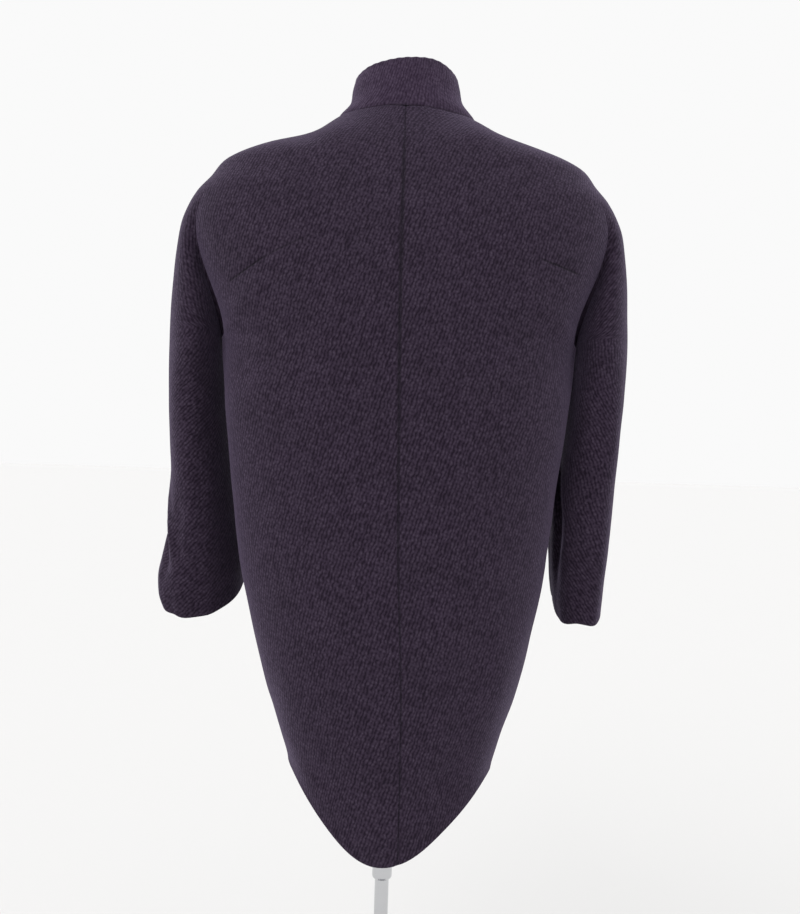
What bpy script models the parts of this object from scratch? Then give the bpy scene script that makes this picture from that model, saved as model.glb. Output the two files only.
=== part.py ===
"""Cocoon coat with a stand collar, hung on a limbless dress form on an adjustable pole.

Metres, +Z up. The coat's back faces +Y and its left side +X. The origin is the middle of the
base's underside, on the axis of the pole.
"""

import math

import bmesh
import bpy
import numpy as np

# Cloth
CLOTH_WALL = 0.003
COLLAR_WALL = 0.005
SEAM_GAP = 0.0003
MITRE_LIMIT = 0.6

# Heights that part the coat into its zones
FOLD_TOP = 1.292
UNDERARM = 1.100
HEM_SIDE = 0.538
HEM_BACK_DROP = 0.112
HEM_FRONT_RISE = 0.012

# How the coat hangs: the skirt leans a little to its right, and the back seam drifts further that way
BODY_LEAN = -0.005
LEAN_TOP = 0.85
LEAN_LOW = 0.62
BACK_SEAM_DRIFT = -0.015
SIDE_SEAM_BACK = 0.025
SIDE_SEAM_SWING = 0.10
HEM_TURN = math.radians(-2.5)

# Roundness of the rings: 2 is an oval, more is squarer
FRONT_ROUNDNESS = 2.1
SLEEVE_ROUNDNESS = 2.0
CUFF_ROUNDNESS = 2.5
CUFF_SHAPING = 0.12

# Neck opening, seen from above
NECK_HALF_WIDTH = 0.083
NECK_BACK = 0.070
NECK_FRONT = 0.078

# Front closing: each front runs past the middle, the right one on top
LAP = 0.030
LAP_LIFT = 0.0050
LAP_RAMP_START = 0.115
LAP_RAMP_END = 0.060

# Where the body and the sleeve part, as an angle from the overarm seam, and how wide the underarm is
FOLD_ANGLE = math.radians(26)
UNDERARM_WIDTH = 0.010
ARMHOLE_CURVE = 0.7

# Where folds die out: towards the side seam, round the sleeve towards its seams, and at their ends
SEAM_CALM = 0.80
SLEEVE_CALM = 0.35
FOLD_START = (-0.1, 0.3)
FOLD_END = (1.5, 1.0)

# Faces across and down a panel
BODY_COLUMNS = 12
LAP_COLUMNS = 2
SLEEVE_COLUMNS = 8
SHOULDER_ROWS = 10
ARMHOLE_ROWS = 6
BODY_ROWS = 13
SLEEVE_ROWS = 9
HALVINGS = 40
WELD = 1e-6
KEY_DIGITS = 5
SHARP_ANGLE = math.radians(50)

# Stand
POLE_RADIUS = 0.0095
POLE_TOP = 0.600
BORE_RADIUS = 0.0099
TUBE_RADIUS = 0.0115
RING_RADIUS = 0.0135
RING_BOTTOM = 0.367
RING_TOP = 0.405
RING_ROUND = 0.006
FLANGE_RADIUS = 0.040
FLANGE_THICK = 0.006
BASE_RADIUS = 0.170
BASE_EDGE = 0.007
BASE_CROWN = 0.013
HUB_RADIUS = 0.019
HUB_TOP = 0.040
SOCKET_FLOOR = 0.006
TURNED_STEPS = 32
TURNED_WELD = 1e-5
EDGE_STEPS = 5

# Dress form
FORM_BOTTOM = 0.735
FORM_NECK_TOP = 1.435
CAP_THICK = 0.010
CAP_EDGE = 0.003
FORM_STEPS = 32
FORM_ROWS = 26


def table(columns, *rows):
    """A short table: each named column as an array."""
    return dict(zip(columns.split(), np.array(rows, float).T))


# Rings of the body: half width at the side seam, depth of the back and of the front
BODY = table(
    "z      half_width  back    front   roundness",
    (0.400, 0.1300, 0.1290, 0.1230, 2.10),
    (0.480, 0.1320, 0.1390, 0.1290, 2.10),
    (0.538, 0.1350, 0.1460, 0.1340, 2.10),
    (0.574, 0.1450, 0.1500, 0.1375, 2.15),
    (0.633, 0.1660, 0.1555, 0.1430, 2.20),
    (0.678, 0.1780, 0.1600, 0.1465, 2.20),
    (0.722, 0.1870, 0.1630, 0.1495, 2.25),
    (0.811, 0.2045, 0.1670, 0.1535, 2.30),
    (0.954, 0.2225, 0.1670, 0.1560, 2.35),
    (1.032, 0.2310, 0.1645, 0.1575, 2.35),
    (1.100, 0.2355, 0.1600, 0.1570, 2.35),
    (1.176, 0.2410, 0.1525, 0.1490, 2.40),
    (1.250, 0.2490, 0.1405, 0.1290, 2.45),
    (1.292, 0.2550, 0.1285, 0.1120, 2.45),
    (1.330, 0.2600, 0.1140, 0.0920, 2.40),
    (1.355, 0.2600, 0.1020, 0.0780, 2.30),
    (1.380, 0.2600, 0.0870, 0.0640, 2.15),
    (1.406, 0.2600, 0.0700, 0.0510, 2.00),
    (1.430, 0.2600, 0.0520, 0.0400, 2.00),
)

# Shoulder and overarm seam, down to the underarm's height
OVERARM = table(
    "z      x       y",
    (1.100, 0.3150, -0.0200),
    (1.178, 0.3125, -0.0170),
    (1.219, 0.3080, -0.0150),
    (1.251, 0.3020, -0.0130),
    (1.272, 0.2940, -0.0120),
    (1.295, 0.2820, -0.0100),
    (1.316, 0.2640, -0.0090),
    (1.337, 0.2480, -0.0070),
    (1.346, 0.2330, -0.0060),
    (1.357, 0.2060, -0.0050),
    (1.370, 0.1680, -0.0030),
    (1.383, 0.1290, -0.0020),
    (1.404, 0.0890, 0.0000),
    (1.430, 0.0600, 0.0000),
)

# Rings of the hanging sleeves: overarm and underarm seams, depths, tilt and outward flare of the front half
SLEEVE = {
    +1: table(
        "z      x_out   y_out    x_in    y_in     back    front   tilt  flare",
        (0.755, 0.2960, 0.0000, 0.2070, -0.0480, 0.0640, 0.0600, 0.55, 0.048),
        (0.790, 0.3000, -0.0030, 0.2070, -0.0470, 0.0680, 0.0640, 0.50, 0.036),
        (0.850, 0.3050, -0.0080, 0.2145, -0.0450, 0.0760, 0.0720, 0.38, 0.014),
        (0.910, 0.3060, -0.0130, 0.2220, -0.0430, 0.0800, 0.0780, 0.27, 0.003),
        (0.980, 0.3105, -0.0180, 0.2305, -0.0400, 0.0830, 0.0840, 0.15, 0.000),
        (1.040, 0.3140, -0.0200, 0.2380, -0.0300, 0.0850, 0.0880, 0.06, 0.000),
        (1.100, 0.3150, -0.0200, 0.2455, 0.0000, 0.0850, 0.0900, 0.00, 0.000),
    ),
    -1: table(
        "z      x_out   y_out    x_in    y_in     back    front   tilt  flare",
        (0.764, 0.2885, -0.0400, 0.2150, -0.0480, 0.0720, 0.0720, 0.55, 0.000),
        (0.790, 0.2905, -0.0380, 0.2140, -0.0470, 0.0740, 0.0740, 0.50, 0.000),
        (0.850, 0.2945, -0.0340, 0.2150, -0.0450, 0.0780, 0.0780, 0.38, 0.000),
        (0.910, 0.2985, -0.0300, 0.2220, -0.0430, 0.0800, 0.0820, 0.27, 0.000),
        (0.980, 0.3035, -0.0250, 0.2305, -0.0400, 0.0830, 0.0860, 0.15, 0.000),
        (1.040, 0.3095, -0.0220, 0.2380, -0.0300, 0.0850, 0.0880, 0.06, 0.000),
        (1.100, 0.3150, -0.0200, 0.2455, 0.0000, 0.0850, 0.0900, 0.00, 0.000),
    ),
}

# Folds on the body: where each starts and ends round the ring and in height, its size, height outwards
BODY_FOLDS = table(
    "side  facing  x_top   z_top  x_low   z_low  half_width  rise",
    (-1, +1, 0.150, 0.770, 0.098, 0.500, 0.026, 0.0060),
    (+1, +1, 0.140, 0.700, 0.100, 0.520, 0.024, 0.0035),
    (+1, -1, 0.120, 0.980, 0.080, 0.600, 0.030, 0.0050),
    (-1, -1, 0.140, 0.900, 0.090, 0.580, 0.028, 0.0050),
)

# Folds on the sleeves, by the angle round the sleeve from the overarm seam
SLEEVE_FOLDS = table(
    "side  facing  deg_top  z_top  deg_low  z_low  half_deg  rise",
    (-1, +1, 146, 0.960, 138, 0.740, 13, -0.0150),
    (-1, +1, 112, 0.950, 104, 0.760, 16, 0.0060),
    (+1, +1, 60, 0.920, 52, 0.760, 14, -0.0050),
    (+1, -1, 120, 1.000, 110, 0.800, 16, -0.0060),
    (-1, -1, 60, 0.980, 70, 0.800, 16, -0.0060),
)

# Stand collar: height over the seam as a share of the way to the top edge, and how far it stands in
COLLAR = table(
    "share   half_width  back    front",
    (0.00, 0.0830, 0.0700, 0.0780),
    (0.18, 0.0785, 0.0700, 0.0770),
    (0.42, 0.0752, 0.0698, 0.0750),
    (0.75, 0.0735, 0.0690, 0.0715),
    (1.00, 0.0705, 0.0670, 0.0680),
)
COLLAR_TOP = {"back": 1.4735, "side": 1.4525, "front": 1.418}
COLLAR_COLUMNS = 36
COLLAR_END_GAP = math.radians(4)

# Rings of the dress form: half width, depth of the back and of the front
FORM = table(
    "z       half_width  back    front",
    (0.735, 0.1450, 0.1020, 0.0940),
    (0.750, 0.1560, 0.1130, 0.1020),
    (0.800, 0.1650, 0.1210, 0.1060),
    (0.880, 0.1560, 0.1120, 0.1010),
    (0.960, 0.1320, 0.0930, 0.0920),
    (1.020, 0.1230, 0.0870, 0.0900),
    (1.100, 0.1380, 0.0930, 0.1060),
    (1.170, 0.1520, 0.1000, 0.1170),
    (1.240, 0.1640, 0.1000, 0.1050),
    (1.300, 0.1790, 0.0930, 0.0820),
    (1.330, 0.1800, 0.0850, 0.0700),
    (1.350, 0.1700, 0.0770, 0.0610),
    (1.365, 0.1400, 0.0690, 0.0560),
    (1.380, 0.0960, 0.0610, 0.0530),
    (1.395, 0.0640, 0.0550, 0.0520),
    (1.412, 0.0545, 0.0520, 0.0515),
    (1.435, 0.0520, 0.0510, 0.0510),
)

CLOTH_COLOUR = (0.034, 0.024, 0.040)
FORM_COLOUR = (0.62, 0.57, 0.49)
CAP_COLOUR = (0.30, 0.17, 0.08)
CHROME_COLOUR = (0.75, 0.76, 0.78)
BASE_COLOUR = (0.70, 0.71, 0.73)


def smooth_curve(sections, column):
    """A monotone cubic through one column of a table, without overshoot between its rows."""
    knots, values = sections["z"], sections[column]
    step = np.diff(knots)
    rise = np.diff(values) / step
    slope = np.concatenate([rise[:1], np.zeros(len(rise) - 1), rise[-1:]])
    for i in range(1, len(rise)):
        before, after = rise[i - 1], rise[i]
        if before * after > 0:
            near = 2 * step[i] + step[i - 1]
            far = step[i] + 2 * step[i - 1]
            slope[i] = (near + far) / (near / before + far / after)

    def at(place):
        i = int(np.clip(np.searchsorted(knots, place) - 1, 0, len(step) - 1))
        t = (place - knots[i]) / step[i]
        return float(
            values[i] * (1 + 2 * t) * (1 - t) ** 2
            + values[i + 1] * t * t * (3 - 2 * t)
            + step[i] * (slope[i] * t * (1 - t) ** 2 - slope[i + 1] * t * t * (1 - t))
        )

    return at


def curves(sections):
    return {name: smooth_curve(sections, name) for name in sections if name != "z"}


body = curves(BODY)
overarm = curves(OVERARM)
sleeve = {side: curves(rows) for side, rows in SLEEVE.items()}
form = curves(FORM)


def smoothstep(start, end, value):
    t = min(max((value - start) / (end - start), 0.0), 1.0)
    return t * t * (3 - 2 * t)


def lerp(a, b, t):
    return a + (b - a) * t


def superellipse(angle, half_width, depth, roundness):
    """A point of a rounded oval, by the angle from its side; past a right angle x is negative."""
    c, s = math.cos(angle), math.sin(angle)
    power = 2 / roundness
    return math.copysign(abs(c) ** power, c) * half_width, abs(s) ** power * depth


def angle_at(x, half_width, roundness):
    """The angle at which a rounded oval has the given x."""
    return math.acos(math.copysign((abs(x) / half_width) ** (roundness / 2), x))


def panel_angle(side, facing, z, share, end, half_width, roundness):
    """A column's angle: from the panel's middle edge to the fold or side seam, or on its lap."""
    if share < 0:
        return angle_at(share * LAP, half_width, roundness)
    middle = side * back_seam_x(z) if facing > 0 else 0.0
    return lerp(angle_at(middle, half_width, roundness), end, share)


def back_seam_x(z):
    return BACK_SEAM_DRIFT * smoothstep(FOLD_TOP, HEM_SIDE - HEM_BACK_DROP, z)


def side_seam_y(z):
    """The side seam runs behind the sleeve's underarm seam, and meets it at the underarm."""
    return SIDE_SEAM_BACK * smoothstep(UNDERARM, UNDERARM - SIDE_SEAM_SWING, z)


def lean(z):
    return BODY_LEAN * smoothstep(LEAN_TOP, LEAN_LOW, z)


def roundness_at(facing, z):
    return body["roundness"](z) if facing > 0 else min(FRONT_ROUNDNESS, body["roundness"](z))


def dome_point(side, facing, z, share, on_sleeve):
    """The coat round the shoulders, where the body and the sleeves are one oval."""
    half_width, seam = overarm["x"](z), overarm["y"](z)
    depth = body["back"](z) - seam if facing > 0 else body["front"](z) + seam
    roundness = roundness_at(facing, z)
    if on_sleeve:
        angle = lerp(FOLD_ANGLE, 0, share)
    else:
        angle = panel_angle(side, facing, z, share, FOLD_ANGLE, half_width, roundness)
    x, y = superellipse(angle, half_width, depth, roundness)
    return x, seam + facing * y


def body_point(side, facing, z, share):
    """The body's own ring, from the middle of the panel to the side seam."""
    half_width, seam = body["half_width"](z), side_seam_y(z)
    depth = body["back"](z) - seam if facing > 0 else body["front"](z) + seam
    roundness = roundness_at(facing, z)
    angle = panel_angle(side, facing, z, share, 0, half_width, roundness)
    x, y = superellipse(angle, half_width, depth, roundness)
    rise = body_fold(side, facing, x, z) * smoothstep(1.0, SEAM_CALM, share)
    scale = 1 + rise / math.hypot(x, y)
    return x * scale + side * lean(z), seam + facing * y * scale


def body_fold(side, facing, x, z):
    """Soft ridges that run down the skirt of the coat and die out at both ends."""
    total = 0.0
    for row in range(len(BODY_FOLDS["side"])):
        fold = {name: column[row] for name, column in BODY_FOLDS.items()}
        if (fold["side"], fold["facing"]) != (side, facing):
            continue
        t = (fold["z_top"] - z) / (fold["z_top"] - fold["z_low"])
        away = (x - lerp(fold["x_top"], fold["x_low"], t)) / fold["half_width"]
        ends = smoothstep(*FOLD_START, t) * smoothstep(*FOLD_END, t)
        total += fold["rise"] * ends * math.exp(-away * away)
    return total


def sleeve_fold(side, facing, angle, z):
    """Troughs and ridges down a sleeve, by angle round it from the overarm seam."""
    total = 0.0
    for row in range(len(SLEEVE_FOLDS["side"])):
        fold = {name: column[row] for name, column in SLEEVE_FOLDS.items()}
        if (fold["side"], fold["facing"]) != (side, facing):
            continue
        t = (fold["z_top"] - z) / (fold["z_top"] - fold["z_low"])
        away = (math.degrees(angle) - lerp(fold["deg_top"], fold["deg_low"], t)) / fold["half_deg"]
        total += fold["rise"] * smoothstep(*FOLD_START, t) * math.exp(-away * away)
    return total * smoothstep(0, SLEEVE_CALM, math.sin(angle))


def sleeve_oval(facing, angle, ring, roundness, fold=0.0):
    """Half a sleeve's ring; its two seams need not lie at the same depth."""
    middle, half = (ring["x_out"] + ring["x_in"]) / 2, (ring["x_out"] - ring["x_in"]) / 2
    depth = ring["back"] if facing > 0 else ring["front"]
    x, y = superellipse(angle, half, depth, roundness)
    reach = 1 + fold / math.hypot(x, y)
    flare = 0.0
    if facing < 0 and angle < math.pi / 2:
        flare = ring["flare"] * math.sin(2 * angle) ** 2
    seam = lerp(ring["y_out"], ring["y_in"], (1 - x / half) / 2)
    return middle + x * reach + flare, seam + facing * y * reach


def armhole_point(side, facing, z, share, on_sleeve):
    """Between shoulder and underarm: the dome, parting into the body and the sleeve."""
    dome_x, dome_y = dome_point(side, facing, z, share, on_sleeve)
    down = min((FOLD_TOP - z) / (FOLD_TOP - UNDERARM), 1)
    if on_sleeve:
        ring = {name: at(UNDERARM) for name, at in sleeve[side].items()}
        ring["x_out"], ring["y_out"] = overarm["x"](z), overarm["y"](z)
        ring["x_in"] = body["half_width"](z) + UNDERARM_WIDTH
        x, y = sleeve_oval(facing, lerp(math.pi, 0, share), ring, SLEEVE_ROUNDNESS)
    else:
        x, y = body_point(side, facing, z, share)
    return lerp(dome_x, x, smoothstep(0, 1, down)), lerp(dome_y, y, 1 - (1 - down) ** ARMHOLE_CURVE)


def neck_height(side, facing, share, on_sleeve):
    """Where a column of the dome meets the neck opening's oval, found by halving."""
    depth = NECK_BACK if facing > 0 else NECK_FRONT
    low, high = FOLD_TOP, BODY["z"][-1]
    for _ in range(HALVINGS):
        z = (low + high) / 2
        x, y = dome_point(side, facing, z, share, on_sleeve)
        if math.hypot(x / NECK_HALF_WIDTH, y / depth) > 1:
            low = z
        else:
            high = z
    return low


def hem_height(side, facing, share):
    """The hem dips to a round point at the back and is nearly level in front."""
    half_width = body["half_width"](HEM_SIDE)
    z = HEM_SIDE - HEM_BACK_DROP
    angle = panel_angle(side, facing, z, max(share, 0), 0, half_width, 2)
    if facing > 0:
        return HEM_SIDE - HEM_BACK_DROP * math.sin(angle - side * HEM_TURN * (1 - share)) ** 3
    return HEM_SIDE + HEM_FRONT_RISE * math.sin(angle) ** 2


def sleeve_ring_point(side, facing, z, share):
    """A point of a hanging sleeve; the rings tilt towards the cuff, whose back edge is the lower."""
    ring = {name: at(z) for name, at in sleeve[side].items()}
    angle = lerp(math.pi, 0, share)
    cuff = SLEEVE[side]["z"][0]
    roundness = lerp(SLEEVE_ROUNDNESS, CUFF_ROUNDNESS, smoothstep(cuff + CUFF_SHAPING, cuff, z))
    x, y = sleeve_oval(facing, angle, ring, roundness, sleeve_fold(side, facing, angle, z))
    middle = (ring["y_out"] + ring["y_in"]) / 2
    return x, y, z - ring["tilt"] * (y - middle)


def panel_columns(facing):
    """Shares across a panel: its lap, its body from the middle to the fold, its half sleeve."""
    lap = [(j / LAP_COLUMNS - 1, False) for j in range(LAP_COLUMNS)] if facing < 0 else []
    on_body = [(j / BODY_COLUMNS, False) for j in range(BODY_COLUMNS + 1)]
    on_sleeve = [(j / SLEEVE_COLUMNS, True) for j in range(SLEEVE_COLUMNS + 1)]
    return lap + on_body, on_sleeve


def panel_grids(side, facing):
    """The outer face of one panel as three grids: shoulder and armhole, body, sleeve."""
    on_body, on_sleeve = panel_columns(facing)
    columns = on_body + on_sleeve
    upper = []
    for row in range(SHOULDER_ROWS + 1):
        line = []
        for column in columns:
            z = lerp(neck_height(side, facing, *column), FOLD_TOP, row / SHOULDER_ROWS)
            line.append((*dome_point(side, facing, z, *column), z))
        upper.append(line)
    for row in range(1, ARMHOLE_ROWS + 1):
        z = lerp(FOLD_TOP, UNDERARM, row / ARMHOLE_ROWS)
        upper.append([(*armhole_point(side, facing, z, *column), z) for column in columns])

    skirt = [upper[-1][: len(on_body)]]
    for row in range(1, BODY_ROWS + 1):
        line = []
        for share, _ in on_body:
            z = lerp(UNDERARM, hem_height(side, facing, share), row / BODY_ROWS)
            line.append((*body_point(side, facing, z, share), z))
        skirt.append(line)

    hanging = [upper[-1][len(on_body) :]]
    for row in range(1, SLEEVE_ROWS + 1):
        z = lerp(UNDERARM, SLEEVE[side]["z"][0], row / SLEEVE_ROWS)
        hanging.append([sleeve_ring_point(side, facing, z, share) for share, _ in on_sleeve])
    return [np.array(grid) * (side, 1, 1) for grid in (upper, skirt, hanging)]


def sheet_mesh(grids, turned):
    """One open sheet from grids that share edges."""
    sheet = bmesh.new()
    for grid in grids:
        rows = [[sheet.verts.new(point) for point in line] for line in grid]
        for upper, lower in zip(rows, rows[1:]):
            for j in range(len(upper) - 1):
                corners = [upper[j], lower[j], lower[j + 1], upper[j + 1]]
                sheet.faces.new(corners[::-1] if turned else corners)
    bmesh.ops.remove_doubles(sheet, verts=sheet.verts, dist=WELD)
    bmesh.ops.triangulate(sheet, faces=sheet.faces, quad_method="SHORT_EDGE")
    sheet.normal_update()
    return sheet


def key(point):
    return tuple(round(value, KEY_DIGITS) for value in point)


def shared_normals(sheets):
    """Mitred normals of all the panels together, so that both sides of a seam get the same one."""
    total, faces = {}, {}
    for sheet in sheets:
        for face in sheet.faces:
            normal = np.array(face.normal)
            for corner in face.loops:
                place = key(corner.vert.co)
                total[place] = total.get(place, 0) + normal * corner.calc_angle()
                faces.setdefault(place, []).append(normal)
    mitred = {}
    for place, normal in total.items():
        normal = normal / np.linalg.norm(normal)
        mitred[place] = normal / max(min(normal @ face for face in faces[place]), MITRE_LIMIT)
    return mitred


def lift_lap(sheet, normals, side):
    """The upper front rises clear of the lower one near the middle."""
    for vert in sheet.verts:
        lift = LAP_LIFT * smoothstep(LAP_RAMP_START, LAP_RAMP_END, vert.co.x * side)
        normal = normals.pop(key(vert.co)) if lift == LAP_LIFT else normals[key(vert.co)]
        vert.co = np.array(vert.co) + lift * normal
        normals[key(vert.co)] = normal


def thicken(sheet, normals, wall):
    """Gives a sheet its inner face and rim, after drawing its edge back from the seam."""
    outer = list(sheet.verts)
    inward = {vert: [] for vert in outer}
    for edge in sheet.edges:
        if edge.is_boundary:
            a, b = (vert.co for vert in edge.verts)
            along = (b - a).normalized()
            into = edge.link_faces[0].calc_center_median() - a
            into = (into - into.dot(along) * along).normalized()
            for vert in edge.verts:
                inward[vert].append(into)
    drawn = {}
    for vert, both in inward.items():
        if both:
            drawn[vert] = sum(both[1:], start=both[0]) / (1 + both[0].dot(both[-1])) * SEAM_GAP / 2
    inner = {}
    for vert in outer:
        normal = normals[key(vert.co)]
        inner[vert] = np.array(vert.co) - wall * normal
    rims = [(e.verts[0], e.verts[1], e.link_faces[0]) for e in sheet.edges if e.is_boundary]
    for vert, shift in drawn.items():
        vert.co += shift
        inner[vert] = inner[vert] + np.array(shift)
    below = {vert: sheet.verts.new(point) for vert, point in inner.items()}
    for face in list(sheet.faces):
        sheet.faces.new([below[v] for v in reversed(face.verts)])
    for a, b, face in rims:
        order = list(face.verts)
        if order[(order.index(a) + 1) % len(order)] is not b:
            a, b = b, a
        # Both sides of a seam are parted along the same diagonal, from the higher outer corner
        if a.co.z > b.co.z:
            halves = [b, a, below[b]], [a, below[a], below[b]]
        else:
            halves = [b, a, below[a]], [b, below[a], below[b]]
        for half in halves:
            sheet.faces.new(half)
    sheet.normal_update()


def add_object(name, mesh_data, material, parent):
    mesh = bpy.data.meshes.new(name)
    mesh_data.to_mesh(mesh)
    mesh_data.free()
    mesh.shade_smooth()
    mesh.set_sharp_from_angle(angle=SHARP_ANGLE)
    mesh.materials.append(material)
    obj = bpy.data.objects.new(name, mesh)
    bpy.context.scene.collection.objects.link(obj)
    obj.parent = parent
    return obj


def add_material(name, colour, roughness, metallic=0.0):
    material = bpy.data.materials.new(name)
    material.use_nodes = True
    shader = material.node_tree.nodes["Principled BSDF"]
    shader.inputs["Base Color"].default_value = (*colour, 1)
    shader.inputs["Roughness"].default_value = roughness
    shader.inputs["Metallic"].default_value = metallic
    return material


def add_empty(name, z, parent=None):
    empty = bpy.data.objects.new(name, None)
    bpy.context.scene.collection.objects.link(empty)
    empty.location.z = z - (parent.location.z if parent else 0)
    empty.parent = parent
    return empty


def coat_panels(material, parent):
    names = {
        (+1, +1): "back_left_with_sleeve",
        (-1, +1): "back_right_with_sleeve",
        (+1, -1): "front_left_with_sleeve",
        (-1, -1): "front_right_with_sleeve",
    }
    sheets = {}
    for side, facing in names:
        sheets[side, facing] = sheet_mesh(panel_grids(side, facing), turned=side * facing > 0)
    normals = shared_normals(sheets.values())
    for (side, facing), name in names.items():
        sheet = sheets[side, facing]
        own = dict(normals)
        if (side, facing) == (-1, -1):
            lift_lap(sheet, own, side)
        thicken(sheet, own, CLOTH_WALL)
        add_object(name, sheet, material, parent)


def neck_seam(facing):
    """The neck seam's height by the angle round the neck from its side, along one panel's edge."""
    angles, heights = [], []
    on_body, on_sleeve = panel_columns(facing)
    for column in reversed(on_body + on_sleeve):
        z = neck_height(1, facing, *column)
        x, y = dome_point(1, facing, z, *column)
        angles.append(math.atan2(abs(y), x))
        heights.append(z)
    return lambda x, y: float(np.interp(math.atan2(abs(y), abs(x)), angles, heights))


def stand_collar(material, parent):
    """A band of double cloth from the neck seam up, open at the front."""
    seam = {"back": neck_seam(+1), "front": neck_seam(-1)}
    grid = [[] for _ in COLLAR["share"]]
    for column in range(COLLAR_COLUMNS + 1):
        turn = lerp(COLLAR_END_GAP, 2 * math.pi - COLLAR_END_GAP, column / COLLAR_COLUMNS) - math.pi / 2
        c, s = math.cos(turn), math.sin(turn)
        depth = "back" if s >= 0 else "front"
        foot = (NECK_HALF_WIDTH * c, (NECK_BACK if s >= 0 else NECK_FRONT) * s)
        low = seam[depth](*foot) + SEAM_GAP
        high = lerp(COLLAR_TOP["side"], COLLAR_TOP[depth], s * s)
        for row, share in enumerate(COLLAR["share"]):
            x = COLLAR["half_width"][row] * c
            y = COLLAR[depth][row] * s
            grid[row].append((x, y, lerp(low, high, share)))
    sheet = sheet_mesh([np.array(grid[::-1])], turned=False)
    normals = {}
    for vert in sheet.verts:
        flat = np.array((vert.co.x, vert.co.y, 0))
        normals[key(vert.co)] = flat / np.linalg.norm(flat)
    thicken(sheet, normals, COLLAR_WALL)
    add_object("stand_collar", sheet, material, parent)


def turned_object(name, profile, material, parent):
    """A solid turned round the pole's axis from (radius, height) points, given in world heights."""
    outline = bmesh.new()
    base = parent.matrix_world.translation.z
    verts = [outline.verts.new((radius, 0, z - base)) for radius, z in profile]
    for a, b in zip(verts, verts[1:]):
        outline.edges.new((a, b))
    obj = add_object(name, outline, material, parent)
    screw = obj.modifiers.new("turn", "SCREW")
    screw.steps = screw.render_steps = TURNED_STEPS
    screw.use_merge_vertices = True
    screw.merge_threshold = TURNED_WELD
    screw.use_smooth_shade = True
    return obj


def arc(centre_radius, centre_z, radius, start, end):
    """Points of a round edge in a profile, by angles in degrees from outwards."""
    angles = (math.radians(lerp(start, end, i / EDGE_STEPS)) for i in range(EDGE_STEPS + 1))
    return [(centre_radius + radius * math.cos(a), centre_z + radius * math.sin(a)) for a in angles]


def form_torso(material, parent):
    """Rings from the closed bottom to the neck; the front is flatter at the neck and fuller at the bust."""
    solid = bmesh.new()
    base = parent.matrix_world.translation.z
    rings = []
    for row in range(FORM_ROWS + 1):
        z = lerp(FORM_BOTTOM + SEAM_GAP, FORM_NECK_TOP, row / FORM_ROWS)
        ring = []
        for step in range(FORM_STEPS):
            turn = 2 * math.pi * step / FORM_STEPS
            depth = form["back"](z) if math.sin(turn) >= 0 else form["front"](z)
            ring.append(
                solid.verts.new((form["half_width"](z) * math.cos(turn), depth * math.sin(turn), z - base))
            )
        rings.append(ring)
    for low, high in zip(rings, rings[1:]):
        for i in range(FORM_STEPS):
            j = (i + 1) % FORM_STEPS
            solid.faces.new((low[i], low[j], high[j], high[i]))
    solid.faces.new(rings[0][::-1])
    solid.faces.new(rings[-1])
    bmesh.ops.triangulate(solid, faces=[f for f in solid.faces if len(f.verts) > 4])
    solid.normal_update()
    add_object("form_torso", solid, material, parent)


def neck_cap(material, parent):
    radius = FORM["half_width"][-1]
    low = FORM_NECK_TOP + SEAM_GAP
    high = low + CAP_THICK
    rim = arc(radius - CAP_EDGE, high - CAP_EDGE, CAP_EDGE, 90, 0)
    turned_object("form_neck_cap", [(0, high + CAP_EDGE), *rim, (radius, low), (0, low)], material, parent)


def upper_tube(material, parent):
    """Carries the form by a flange and slides over the lower pole."""
    low, high = RING_TOP + SEAM_GAP, FORM_BOTTOM
    profile = [
        (0, high),
        (FLANGE_RADIUS, high),
        (FLANGE_RADIUS, high - FLANGE_THICK),
        (TUBE_RADIUS, high - FLANGE_THICK),
        (TUBE_RADIUS, low),
        (BORE_RADIUS, low),
        (BORE_RADIUS, high - FLANGE_THICK),
        (0, high - FLANGE_THICK),
    ]
    turned_object("upper_tube", profile, material, parent)


def lock_ring(material, parent):
    """Grips the lower pole; its lower edge is round."""
    middle = (RING_TOP + RING_BOTTOM) / 2
    inside = RING_RADIUS - RING_ROUND
    profile = [(BORE_RADIUS, middle), (BORE_RADIUS, RING_TOP), (RING_RADIUS, RING_TOP)]
    for radius, z in arc(inside, RING_BOTTOM + RING_ROUND, RING_ROUND, 0, -90):
        profile.append((max(radius, BORE_RADIUS), z))
        if radius <= BORE_RADIUS:
            break
    profile.append((BORE_RADIUS, middle))
    turned_object("lock_ring", profile, material, parent)


def lower_pole(material, parent):
    low = SOCKET_FLOOR + SEAM_GAP
    turned_object(
        "lower_pole",
        [(0, POLE_TOP), (POLE_RADIUS, POLE_TOP), (POLE_RADIUS, low), (0, low)],
        material,
        parent,
    )


def stand_base(material, parent):
    """A low round foot with a socketed hub for the pole."""
    edge = BASE_EDGE / 2
    profile = [
        (0, SOCKET_FLOOR),
        (BORE_RADIUS, SOCKET_FLOOR),
        (BORE_RADIUS, HUB_TOP),
        (HUB_RADIUS - edge / 2, HUB_TOP),
        (HUB_RADIUS, HUB_TOP - edge / 2),
        (HUB_RADIUS, BASE_CROWN),
        (BASE_RADIUS - edge, BASE_EDGE),
        *arc(BASE_RADIUS - edge, edge, edge, 60, -90),
        (0, 0),
    ]
    turned_object("stand_base", profile, material, parent)


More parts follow.
